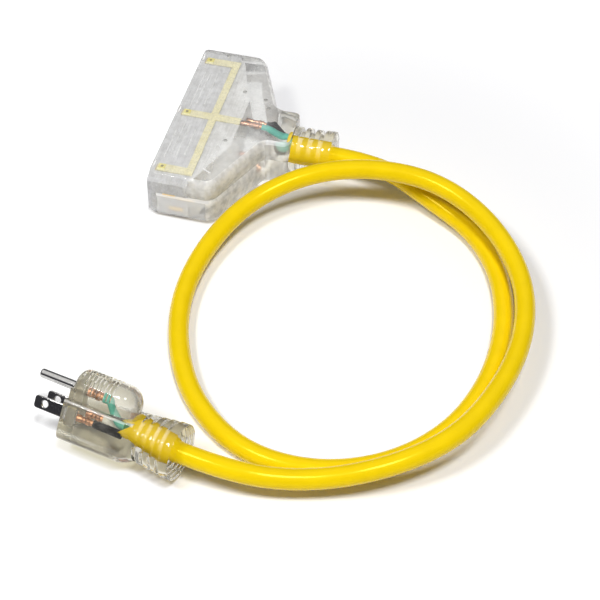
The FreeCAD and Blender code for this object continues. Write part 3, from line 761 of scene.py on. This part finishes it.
def widest_outline(sizes, z):
    """The block's outline at its widest line, as one flat face at this height, with its corners rounded."""
    front = -sizes.length / 2
    shoulder = front + sizes.front_bulge + sizes.shoulder_depth
    root = front + sizes.root_depth
    neck_end = front + sizes.neck_depth
    bulge = sizes.side_bulge
    half = sizes.half_width + bulge
    neck = sizes.neck_half_width + bulge
    slope = math.atan2(sizes.half_width - sizes.neck_half_width, root - shoulder)
    shoulder += bulge * math.tan(slope / 2)
    root += bulge * math.tan(slope / 2)
    clear_selection()
    bpy.ops.mesh.primitive_plane_add(size=1, location=((front + shoulder) / 2, 0, z))
    piece = bpy.context.object
    piece.scale = (shoulder - front, 2 * half, 1)
    settle(piece, "outline")
    edit(piece)
    choose("edges", lambda middle, edge: middle.x > shoulder - HAIR)
    extrude(x=root - shoulder)
    scale(y=neck / half)
    extrude(x=neck_end - root)
    bpy.ops.mesh.select_all(action="SELECT")
    bpy.ops.mesh.dissolve_faces()
    corners = (
        (front, sizes.front_corner + bulge, math.pi / 4, 8),
        (shoulder, sizes.shoulder_corner + bulge, (math.pi - slope) / 2, 8),
        (root, sizes.root_corner - bulge, (math.pi - slope) / 2, 8),
        (neck_end, sizes.neck_corner + bulge, math.pi / 4, 6),
    )
    for x, radius, half_angle, count in corners:
        reach = radius / math.tan(half_angle)
        choose("verts", lambda middle, vert: abs(middle.x - x) < HAIR and abs(middle.y) > neck * 0.99)
        bpy.ops.mesh.bevel(offset_type="OFFSET", offset=reach, segments=count, profile=0.5, affect="VERTICES")
    return piece


def build_up(sizes, z_start, rise_height, steps, widest, sign):
    """Draws the outline's face up or down through profile steps. It stays put at the front and neck end."""
    front = -sizes.length / 2
    neck_end = front + sizes.neck_depth
    here_share, here_bulge = widest, 1.0
    for share, bulge in steps:
        narrow = (here_bulge - bulge) * sizes.side_bulge
        back_off = (here_bulge - bulge) * sizes.front_bulge
        rise = abs(share - here_share) * rise_height
        z = z_start + rise_height * share
        bpy.ops.mesh.inset(thickness=narrow, depth=rise, use_even_offset=True)

        def on_ring(middle):
            return abs(middle.z - z) < 0.1 * MM

        choose("verts", lambda middle, vert: on_ring(middle) and middle.x < front + FRONT_ZONE)
        shift(x=back_off - narrow)
        choose("verts", lambda middle, vert: on_ring(middle) and middle.x > neck_end - NECK_END_ZONE)
        shift(x=narrow)
        choose("faces", lambda middle, face: on_ring(middle) and face.normal.z * sign > 0.9)
        here_share, here_bulge = share, bulge


def half_block(sizes, z_start, rise_height, widest, up_steps, down_steps):
    """One of the block's halves, above or below its ledge."""
    piece = widest_outline(sizes, z_start + rise_height * widest)
    bpy.ops.mesh.select_all(action="SELECT")
    extrude(z=THIN_BAND)
    face_outwards()
    choose("faces", lambda middle, face: face.normal.z > 0.9)
    shift(z=-THIN_BAND / 2)
    for steps, sign in ((up_steps, 1), (down_steps, -1)):
        choose("faces", lambda middle, face: face.normal.z * sign > 0.9)
        build_up(sizes, z_start, rise_height, steps, widest, sign)
    clear_selection()
    return piece


def make_block(sizes):
    """The block's two halves, opened and welded together along the ledge."""
    lower = half_block(sizes, 0.0, sizes.ledge, LOWER_WIDEST, LOWER_RISE, LOWER_FALL)
    upper = half_block(
        sizes, sizes.ledge, sizes.height - sizes.ledge, UPPER_WIDEST, UPPER_RISE, UPPER_FALL)
    join_up([lower, upper])
    edit(lower)
    choose("faces", lambda middle, face: abs(middle.z - sizes.ledge) < 0.05 * MM and abs(face.normal.z) > 0.9)
    bpy.ops.mesh.delete(type="FACE")
    face_outwards(0.05 * MM)
    clear_selection()
    return lower


def make_relief(sizes, start, end, last_radius, depth, axis, turn, plastic, web_highlight_plastic):
    """A ribbed strain relief about a line along X. Its grooves run over part of the way round, turned on by
    some degrees, and the upper part of the webs between them is painted pale and cloudy, a painted highlight."""
    pitch = (end - sizes.flange_length - start) / sizes.rib_count
    steps = [(start - 3 * MM, sizes.core_radius)]
    grooves = []
    for number in range(sizes.rib_count):
        grown = number / max(sizes.rib_count - 1, 1)
        radius = sizes.rib_radius + (last_radius - sizes.rib_radius) * grown
        x = start + number * pitch
        top = x + pitch * RIB_SHARE
        rest = x + pitch - top
        steps += [(x, radius), (top, radius)]
        steps += [(top + rest * 0.25, radius - WEB_DIP), (top + rest * 0.75, radius - WEB_DIP)]
        grooves.append((top, x + pitch))
    steps += [(end - sizes.flange_length, sizes.flange_radius), (end, sizes.flange_radius)]
    relief = turned_piece(steps, axis, 72)

    def way_round(middle):
        return math.degrees(math.atan2(middle.z - axis, middle.y)) - turn

    edit(relief)
    for from_x, to_x in grooves:
        for low, high in GROOVE_ARCS:
            choose("faces", lambda middle, face: (
                (way_round(middle) - low) % 360 < high - low
                and from_x < middle.x < to_x and abs(face.normal.x) < 0.7))
            bpy.ops.mesh.inset(thickness=0.25 * MM, depth=-depth, use_even_offset=True)
    clear_selection()
    bevel_edges(relief, 0.35 * MM, 2, 35.0)
    dress(relief, plastic)
    web_start = GROOVE_ARCS[0][1]
    # The webs on the lamp-lit upper side get the pale cloudy finish: a painted highlight
    repaint(relief, web_highlight_plastic, lambda middle, face: (
        any(from_x < middle.x < to_x for from_x, to_x in grooves) and abs(face.normal.x) < 0.9
        and 1 < way_round(middle) - web_start < WEB_HIGHLIGHT_ARC))
    return relief


def bump_steps(sizes):
    """Profile of the plug's back over the pin: its rounded front edge, its grip rings and its dome."""
    face = -sizes.length
    radius = sizes.bump_radius
    edge = sizes.bump_front
    steps = sorted(
        (face + edge * (1 - sine), radius - edge * (1 - cosine)) for sine, cosine in quarter_turn(6))
    gap = sizes.grip_pitch - sizes.grip_land
    low = radius - sizes.grip_drop
    for number in range(sizes.grip_count):
        x = face + sizes.grip_start + number * sizes.grip_pitch
        steps += [(x, radius), (x + gap * 0.25, low), (x + gap * 0.75, low), (x + gap, radius)]
    straight = face + sizes.bump_length - radius
    steps += [(straight + radius * sine, radius * cosine) for sine, cosine in quarter_turn(10)[:-1]]
    return steps


def make_crimp(radius):
    """A crimp's barrel along X, a metre long to be scaled, with flared mouths, a waist and a seam."""
    barrel = turned_piece([(along, radius * share) for along, share in CRIMP_STEPS], 0.0, 28)
    edit(barrel)
    choose("faces", lambda middle, face: (
        abs(middle.y) < radius * 0.2 and middle.z > 0 and abs(face.normal.x) < 0.9))
    bpy.ops.mesh.inset(thickness=0.02 * MM, depth=-0.35 * MM)
    clear_selection()
    return barrel


def pierced_tip(x, y, z, pad_metal, shaded_hole_metal, lit_lip_metal):
    """A square pad at the tip of the ground strip, with a blind hole painted dark, a painted shade, and a
    raised lip on its -Y side painted bright, a painted highlight.
    """
    half = TIP_HALF * MM
    pad, lip = [
        box_piece((x - half, y + low * MM, z - 0.1 * MM), (x + half, y + high * MM, z + top * MM))
        for (low, high), top in ((TIP_SPAN, 0.25), (LIP_SPAN, 0.4))]
    bevel_edges(pad, 0.12 * MM)
    bevel_edges(lip, 0.15 * MM)
    hole_radius, hole_place = TIP_HOLE
    hole = round_piece(32, hole_radius * MM, 0.4 * MM, (x, y + hole_place * MM, z + 0.25 * MM))
    for piece, finish in ((pad, pad_metal), (hole, shaded_hole_metal), (lip, lit_lip_metal)):
        dress(piece, finish)
    merge_with(pad, hole, "DIFFERENCE")
    return [pad, lip]


class CORDSET_OT_block_body(Operator):
    """Models the clear body of the outlet block with its ribbed strain relief"""
    bl_idname = "cordset.block_body"
    bl_label = "Clear block body"

    def execute(self, context):
        sizes = context.scene.block_sizes
        plastics = clear_plastics(BLOCK_PLASTICS, context.scene.cord_finishes)
        joint = hidden_joint("bonded_joint")
        front = -sizes.length / 2
        neck_end = front + sizes.neck_depth
        body = make_block(sizes)
        dress(body, plastics["block"])
        relief = make_relief(
            sizes, neck_end, sizes.length / 2, sizes.rib_radius, sizes.rib_radius - sizes.core_radius,
            sizes.height / 2, 0.0, plastics["relief"], plastics["web"])
        merge_with(body, relief, "UNION")
        low, high = with_slack(*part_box("contact_carrier"))
        hollow = box_piece((low.x - 2 * MM, low.y, low.z), high)
        edit(hollow)
        choose("edges", lambda middle, edge: runs_along(edge))
        bpy.ops.mesh.bevel(offset=1.5 * MM, segments=1, affect="EDGES")
        dress(hollow, joint)
        merge_with(body, hollow, "DIFFERENCE")
        low, high = with_slack(*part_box("carrier_backer"))
        turn_x = front + BACKER_TURN
        hollow = box_piece((low.x - 0.5 * MM, low.y, low.z), (turn_x, high.y, high.z))
        edit(hollow)
        choose("faces", lambda middle, face: face.normal.x > 0.9)
        extrude(x=high.x - turn_x)
        scale(y=BACKER_END_HALF / high.y)
        face_outwards()
        dress(hollow, joint)
        merge_with(body, hollow, "DIFFERENCE")
        cutters = []
        # Each mark's faces take the dark grey finish, a painted shade
        for x, y in PIN_MARKS:
            mark = round_piece(28, sizes.mark_radius, 2 * sizes.mark_depth, (x * MM, y * MM, sizes.height))
            dress(mark, plastics["mark"])
            cutters.append(mark)
        for y in STRIP_LEGS:
            slot = box_piece(
                (front + SLOT_DEPTHS[0] * MM, (y - SLOT_HALF) * MM, sizes.height - 1.2 * MM),
                (front + SLOT_DEPTHS[1] * MM, (y + SLOT_HALF) * MM, sizes.height + MM))
            bevel_edges(slot, 0.3 * MM)
            dress(slot, plastics["slot"])
            cutters.append(slot)
        merge_with(body, join_up(cutters), "DIFFERENCE")
        settle(body, "block_body")
        smooth(body, 50.0)
        ledge = sizes.ledge
        neck = sizes.neck_half_width

        def within(at, span):
            return span[0] < at.x - front < span[1]

        def slanted(at, out):
            on_side = BASE_EDGE < at.z < sizes.height - 0.1 * MM
            return within(at, SLANT_SPAN) and on_side and 0.2 < out.x < 0.98

        areas = (
            # The ledge band at the near end and the neck's top edge are painted hazy white, a painted
            # highlight
            ("ledge", lambda at, out: within(at, END_SPAN) and abs(at.z - ledge) < LEDGE_BAND),
            ("side", lambda at, out: slanted(at, out) and at.y < -neck),
            ("far", lambda at, out: slanted(at, out) and at.y > neck),
            ("side", lambda at, out: at.y > FAR_END and at.z > ledge and out.z < 0.95),
            ("ledge", lambda at, out: (
                within(at, (NECK_EDGE_START, sizes.neck_depth)) and at.y < 0
                and at.z > NECK_EDGE_HEIGHT and out.z < 0.97)),
            ("neck", lambda at, out: (
                within(at, (NECK_START, sizes.neck_depth + MM)) and abs(at.y) > 0.8 * neck and out.z < 0.97)),
            ("shoulder", lambda at, out: within(at, SHOULDER_SPAN) and at.z > ledge and out.y < -0.6),
            ("end", lambda at, out: (
                within(at, END_SPAN) and BASE_EDGE < at.z < ledge and abs(out.y) > 0.7)),
            ("base", lambda at, out: 0.1 * MM < at.z < BASE_EDGE),
        )
        for kind, test in areas:
            repaint(body, plastics[kind], lambda at, face: face.material_index == 0 and test(at, face.normal))
        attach(body, BODY)
        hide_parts("tap_overmould")
        return {"FINISHED"}


class CORDSET_OT_plug_body(Operator):
    """Models the clear body of the plug with its grip rings and ribbed strain relief"""
    bl_idname = "cordset.plug_body"
    bl_label = "Clear plug body"

    def execute(self, context):
        sizes = context.scene.plug_sizes
        plastics = clear_plastics(PLUG_PLASTICS, context.scene.cord_finishes)
        face = -sizes.length
        half = sizes.half_width
        body = box_piece((face, -half, -sizes.bottom), (face + sizes.body_length, half, sizes.ledge))
        edit(body)
        choose("edges", lambda middle, edge: runs_along(edge) and middle.z < 0)
        bpy.ops.mesh.bevel(offset=sizes.bottom_radius, segments=12, affect="EDGES")
        choose("edges", lambda middle, edge: runs_along(edge) and middle.z > sizes.ledge - HAIR)
        bpy.ops.mesh.bevel(offset=sizes.ledge_radius, segments=3, affect="EDGES")
        turn_x = face + sizes.full_length
        run = sizes.body_length - sizes.full_length
        drop = sizes.start_radius - sizes.end_radius
        steps = [(face - MM, sizes.start_radius), (turn_x, sizes.start_radius)]
        steps += [(turn_x + run * t / 8, sizes.start_radius - drop * (t / 8) ** 2) for t in range(1, 9)]
        merge_with(body, turned_piece(steps, 0.0, 96), "INTERSECT")
        top_axis = sizes.bump_axis
        radius = sizes.bump_radius
        straight = face + sizes.bump_length - radius
        merge_with(body, turned_piece(bump_steps(sizes), top_axis, 64), "UNION")
        merge_with(body, box_piece((face, -radius, -2 * MM), (straight, radius, top_axis)), "UNION")
        heel = round_piece(64, radius, top_axis + 2 * MM, (straight, 0, top_axis / 2 - MM))
        merge_with(body, heel, "UNION")
        dress(body, plastics["plug"])
        relief_start = face + sizes.relief_root
        relief = make_relief(
            sizes, relief_start, 0.0, sizes.rib_end_radius, PLUG_GROOVE_DEPTH, 0.0, PLUG_GROOVE_TURN,
            plastics["plug"], plastics["plug_web"])
        merge_with(body, relief, "UNION")
        settle(body, "plug_body")
        smooth(body, 40.0)
        grip_start = face + sizes.grip_start
        grip_end = grip_start + sizes.grip_count * sizes.grip_pitch
        low, high = UNDERSIDE
        # The upper halves of the grip grooves are painted hazy and pale, a painted highlight
        repaint(body, plastics["groove"], lambda middle, facet: (
            grip_start < middle.x < grip_end and middle.z > top_axis - MM
            and math.hypot(middle.y, middle.z - top_axis) < radius - 0.6 * sizes.grip_drop))
        repaint(body, plastics["under"], lambda middle, facet: (
            middle.x > relief_start and low < math.degrees(math.atan2(middle.z, middle.y)) % 360 < high))
        repaint(body, plastics["dome"], lambda middle, facet: (
            grip_end < middle.x < face + sizes.bump_length and middle.z > sizes.ledge + 0.5 * MM))
        # The rounded edge along the ledge is painted hazy and pale too, a painted highlight
        repaint(body, plastics["groove"], lambda middle, facet: (
            sizes.ledge - 1.1 * MM < middle.z < sizes.ledge - 0.05 * MM and abs(middle.y) > 8 * MM
            and middle.x < relief_start and 0.2 < facet.normal.z < 0.95))
        lay_plug(body)
        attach(body, BODY)
        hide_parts("plug_overmould")
        return {"FINISHED"}


class CORDSET_OT_free_cord(Operator):
    """Lays the yellow cord from the block to the plug"""
    bl_idname = "cordset.free_cord"
    bl_label = "Free cord"

    def execute(self, context):
        sizes = context.scene.cord_sizes
        line = bpy.data.curves.new("cord_line", "CURVE")
        line.dimensions = "3D"
        spline = line.splines.new("NURBS")
        spline.points.add(len(CORD_ROUTE) - 1)
        for point, place in zip(spline.points, CORD_ROUTE):
            point.co = (*(Vector(place) * MM), 1.0)
        spline.order_u = 3
        spline.use_endpoint_u = True
        spline.resolution_u = 14
        line.bevel_depth = sizes.diameter / 2
        line.bevel_resolution = 9
        line.use_fill_caps = True
        cord = link_object("yellow_cord", line)
        dress(cord, jacket_finish("yellow_jacket_finish", context.scene.cord_finishes.jacket, 0.4))
        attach(cord, BODY)
        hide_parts("power_cord")
        plug_pieces = [bpy.data.objects[name] for name in PLUG_PIECES]
        plug_pieces += [
            node for name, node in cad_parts.items()
            if name == "blade_bridge" or name.startswith("plug_") and name[-5:] in ("rands", "_wire")]
        return {"FINISHED"}


class CORDSET_OT_plug_blades(Operator):
    """Models a flat blade with a rounded tip and a hole, and copies it to the other side of the plug"""
    bl_idname = "cordset.plug_blades"
    bl_label = "Plug blades"

    def execute(self, context):
        sizes = context.scene.metal_sizes
        face = -context.scene.plug_sizes.length
        tip = face - sizes.blade_length
        half = sizes.blade_thickness / 2
        half_width = sizes.blade_width / 2
        blade = box_piece((tip, -half, -half_width), (face + sizes.blade_tail, half, half_width))
        edit(blade)
        choose("edges", lambda middle, edge: middle.x < tip + HAIR and abs(middle.z) > MM)
        bpy.ops.mesh.bevel(offset=sizes.tip_radius, segments=8, affect="EDGES")
        hole = round_piece(
            40, sizes.hole_radius, 4 * half, (face - sizes.hole_offset, 0, 0), (math.pi / 2, 0, 0))
        merge_with(blade, hole, "DIFFERENCE")
        bevel_edges(blade, 0.22 * MM, 3, 40.0)
        smooth(blade, 50.0)
        finish = metal("blade_nickel", context.scene.cord_finishes.nickel, 0.1)
        for name, side in (("line_blade", -1), ("neutral_blade", 1)):
            one = copy_of(blade)
            one.location.y = side * sizes.blade_spacing / 2
            settle(one, "plug_" + name)
            dress(one, finish)
            lay_plug(one)
            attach(one, BODY)
            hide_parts(name)
        bpy.data.objects.remove(blade)
        return {"FINISHED"}


class CORDSET_OT_ground_pin(Operator):
    """Turns the round ground pin with its rounded tip"""
    bl_idname = "cordset.ground_pin"
    bl_label = "Ground pin"

    def execute(self, context):
        sizes = context.scene.metal_sizes
        face = -context.scene.plug_sizes.length
        tip = face - sizes.pin_length
        radius = sizes.pin_radius
        steps = [(tip, radius - PIN_NOSE * 0.95)]
        steps += [
            (tip + PIN_NOSE * (1 - cosine), radius - PIN_NOSE + PIN_NOSE * sine)
            for sine, cosine in quarter_turn(8)[1:]]
        steps += [(face, radius), (face, PIN_TAIL_RADIUS), (face + sizes.pin_tail, PIN_TAIL_RADIUS)]
        pin = settle(turned_piece(steps, sizes.pin_height, 48), "plug_ground_pin")
        smooth(pin, 40.0)
        dress(pin, metal("pin_nickel", (0.66, 0.65, 0.63), 0.08))
        lay_plug(pin)
        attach(pin, BODY)
        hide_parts("ground_pin")
        return {"FINISHED"}


class CORDSET_OT_jacket_ends(Operator):
    """Models the ends of the yellow jacket inside the block and the plug"""
    bl_idname = "cordset.jacket_ends"
    bl_label = "Jacket ends"

    def execute(self, context):
        radius = context.scene.cord_sizes.diameter / 2
        # The jacket inside the clear ends is the cord's yellow made a tenth lighter: painted light that makes
        # up for light lost in the plastic
        finish = jacket_finish("jacket_end_finish", shaded(context.scene.cord_finishes.jacket, 1.1), 0.0)
        low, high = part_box("tap_jacket_end")
        steps = [(low.x, radius - 0.4 * MM), (low.x + 0.4 * MM, radius), (high.x, radius)]
        near = settle(turned_piece(steps, (low.z + high.z) / 2, 64), "block_jacket_end")
        cut = -context.scene.plug_sizes.length + JACKET_CUT
        far = turned_piece([(cut, radius), (JACKET_KNEE, radius), (0.0, radius)], 0.0, 64)
        edit(far)
        bpy.ops.mesh.select_all(action="SELECT")
        bpy.ops.mesh.bisect(
            plane_co=(cut + SLANT_START, 0, 0), plane_no=SLANT_NORMAL, use_fill=True, clear_outer=True)
        face_outwards()
        choose("verts", lambda middle, vert: middle.x < JACKET_KNEE + HAIR)
        bpy.ops.transform.rotate(
            value=math.radians(-JACKET_RISE), orient_axis="Y", center_override=(JACKET_KNEE, 0, 0))
        clear_selection()
        settle(far, "plug_jacket_slanted_end")
        lay_plug(far)
        for piece, node in ((near, "tap_jacket_end"), (far, "plug_jacket_end")):
            smooth(piece, 40.0)
            dress(piece, finish)
            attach(piece, BODY)
            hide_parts(node)
        return {"FINISHED"}


class CORDSET_OT_crimps(Operator):
    """Models a pressed crimp and copies it to the three conductors in the block and in the plug"""
    bl_idname = "cordset.crimps"
    bl_label = "Crimps"

    def execute(self, context):
        sizes = context.scene.metal_sizes
        face = -context.scene.plug_sizes.length
        blade_end = face + sizes.blade_tail
        finish = metal(
            "crimp_copper", shaded(context.scene.cord_finishes.copper, 0.85), 0.28, 1.0, 1.2 * MM, 0.1 * MM,
            worn=(0.22, 0.13, 0.10))
        barrel = make_crimp(sizes.crimp_radius)
        side = sizes.blade_spacing / 2
        places = {
            "plug_ground_crimp": (face + sizes.pin_tail, 0.0, sizes.pin_height),
            "plug_line_crimp": (blade_end, -side, 0.0),
            "plug_neutral_crimp": (blade_end, side, 0.0),
        }
        for end in ("tap", "plug"):
            for wire in ("ground", "line", "neutral"):
                node = end + "_" + wire + "_crimp"
                one = copy_of(barrel)
                if end == "tap":
                    low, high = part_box(node)
                    one.location = (low.x, (low.y + high.y) / 2, (low.z + high.z) / 2)
                    one.scale.x = high.x - low.x
                else:
                    one.location = places[node]
                    one.scale.x = sizes.crimp_length
                settle(one, end + "_" + wire + "_pressed_crimp")
                if end == "plug":
                    lay_plug(one)
                smooth(one, 35.0)
                dress(one, finish)
                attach(one, BODY)
                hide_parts(node)
        bpy.data.objects.remove(barrel)
        return {"FINISHED"}


class CORDSET_OT_insert_details(Operator):
    """Models the insert's rails, the strip ends at its near side and the pierced tips of the ground strip"""
    bl_idname = "cordset.insert_details"
    bl_label = "Insert details"

    def execute(self, context):
        low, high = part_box("contact_carrier")
        strip_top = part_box("ground_bus")[1].z
        tip_x = -context.scene.block_sizes.length / 2 + TIP_DEPTH * MM
        rails = []
        for from_x, from_y, to_x, to_y in INSERT_RAILS:
            run = math.hypot(to_x - from_x, to_y - from_y)
            rail = box_piece(
                (0.0, -RAIL_HALF, high.z - 0.1 * MM), (run * MM, RAIL_HALF, high.z + RAIL_HEIGHT))
            bevel_edges(rail, 0.15 * MM)
            rail.rotation_euler.z = math.atan2(to_y - from_y, to_x - from_x)
            rail.location = (from_x * MM, from_y * MM, 0.0)
            rails.append(settle(rail, "rail"))
        rails = settle(join_up(rails), "insert_rails")
        dress(rails, frosted("rail_finish", (0.97, 0.97, 0.97), 0.05, 2 * MM))
        ends = []
        for start, stop, bottom, top in STRIP_ENDS:
            plate = box_piece(
                (start * MM, low.y - 0.3 * MM, bottom * MM), (stop * MM, low.y + 0.1 * MM, top * MM))
            bevel_edges(plate, 0.12 * MM)
            ends.append(plate)
        ends = settle(join_up(ends), "strip_ends")
        dress(ends, metal("strip_end_brass", (0.95, 0.72, 0.38), 0.45, 0.2))
        # The hole's dark brass is painted shade and the lip's bright brass is a painted highlight
        metals = (
            metal("strip_tip_brass", (0.80, 0.70, 0.16), 0.5, 0.0, 3 * MM),
            metal("strip_hole_brass", (0.22, 0.18, 0.02), 0.5, 0.0),
            metal("strip_lip_brass", (1.0, 0.94, 0.45), 0.4, 0.0))
        tips = []
        for y in STRIP_LEGS:
            tips += pierced_tip(tip_x, y * MM, strip_top, *metals)
        tips = settle(join_up(tips), "strip_tips")
        smooth(tips, 35.0)
        for piece in (rails, ends, tips):
            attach(piece, BODY)
        return {"FINISHED"}


class CORDSET_OT_inner_parts(Operator):
    """Gives the insert, strips, contacts, strands and wires their finishes"""
    bl_idname = "cordset.inner_parts"
    bl_label = "Inner parts"

    def execute(self, context):
        looks = context.scene.cord_finishes
        dress_node("contact_carrier", frosted("frosted_insert_finish", looks.insert, 0.15, 0.9 * MM))
        dress_node("carrier_backer", frosted("backer_finish", (0.76, 0.755, 0.74), 0.15, 0.9 * MM))
        dress_node("blade_bridge", frosted("bridge_finish", (0.80, 0.77, 0.70), 0.85, 1.5 * MM))
        dress_node("ground_bus", metal(
            "ground_strip_finish", looks.ground_strip, 0.45, 0.3, worn=shaded(looks.ground_strip, 0.72)))
        brass = metal("brass_finish", looks.brass, 0.3)
        for name in ("line_bus", "neutral_bus", "ground_contacts", "line_contacts", "neutral_contacts"):
            dress_node(name, brass)
        copper = metal("copper_finish", shaded(looks.copper, 0.85), 0.45)
        wires = {
            "ground": insulation("green_insulation_finish", looks.ground_wire),
            "line": insulation("black_insulation_finish", looks.line_wire),
            "neutral": insulation("white_insulation_finish", looks.neutral_wire),
        }
        for end in ("tap", "plug"):
            for wire, finish in wires.items():
                dress_node(end + "_" + wire + "_strands", copper)
                dress_node(end + "_" + wire + "_wire", finish)
        return {"FINISHED"}


class CORDSET_OT_stage(Operator):
    """Sets up the floor, the lamps, the surroundings and the camera"""
    bl_idname = "cordset.stage"
    bl_label = "Floor, lamps and camera"

    def execute(self, context):
        scene = context.scene
        clear_selection()
        bpy.ops.mesh.primitive_circle_add(
            vertices=96, radius=FLOOR_RADIUS, fill_type="NGON", location=(0, 0, -FLOOR_SINK))
        floor = settle(bpy.context.object, "floor")
        dress(floor, floor_finish(tuple(scene.cord_finishes.floor)))
        world = bpy.data.worlds.new("studio")
        world.use_nodes = True
        scene.world = world
        surroundings(world.node_tree)
        for name, place, size, power in LAMPS:
            lamp = bpy.data.lights.new(name, "AREA")
            lamp.size = size
            lamp.energy = power
            holder = link_object(name, lamp)
            holder.visible_transmission = False
            look_at(holder, place, LAMP_AIM)
        eye = bpy.data.cameras.new("photo_view")
        eye.lens = CAMERA_LENS
        eye.sensor_width = 36.0
        eye.clip_start = 0.01
        scene.camera = link_object("photo_view", eye)
        look_at(scene.camera, CAMERA_PLACE, CAMERA_AIM)
        scene.view_settings.view_transform = "Standard"
        return {"FINISHED"}


class CORDSET_PT_panel(Panel):
    """Lists the steps that model the extension cord"""
    bl_label = "Extension cord"
    bl_idname = "CORDSET_PT_panel"
    bl_space_type = "VIEW_3D"
    bl_region_type = "UI"
    bl_category = "Extension cord"

    def draw(self, context):
        for operator in STEPS:
            self.layout.operator(operator.bl_idname)
        for group in GROUPS.values():
            holder = getattr(context.scene, group)
            for name in holder.bl_rna.properties.keys():
                if name not in ("rna_type", "name"):
                    self.layout.prop(holder, name)


STEPS = (
    CORDSET_OT_block_body, CORDSET_OT_plug_body, CORDSET_OT_plug_blades, CORDSET_OT_ground_pin,
    CORDSET_OT_jacket_ends, CORDSET_OT_crimps, CORDSET_OT_insert_details, CORDSET_OT_inner_parts,
    CORDSET_OT_free_cord, CORDSET_OT_stage,
)
GROUPS = {
    BlockSizes: "block_sizes", PlugSizes: "plug_sizes", MetalSizes: "metal_sizes", CordSizes: "cord_sizes",
    Finishes: "cord_finishes",
}


def register():
    for group, place in GROUPS.items():
        bpy.utils.register_class(group)
        setattr(bpy.types.Scene, place, PointerProperty(type=group))
    for operator in STEPS:
        bpy.utils.register_class(operator)
    bpy.utils.register_class(CORDSET_PT_panel)


def unregister():
    bpy.utils.unregister_class(CORDSET_PT_panel)
    for operator in reversed(STEPS):
        bpy.utils.unregister_class(operator)
    for group, place in reversed(list(GROUPS.items())):
        delattr(bpy.types.Scene, place)
        bpy.utils.unregister_class(group)


def main():
    register()
    for operator in STEPS:
        group, name = operator.bl_idname.split(".")
        getattr(getattr(bpy.ops, group), name)()
    bpy.context.view_layer.update()


if __name__ == "__main__":
    main()
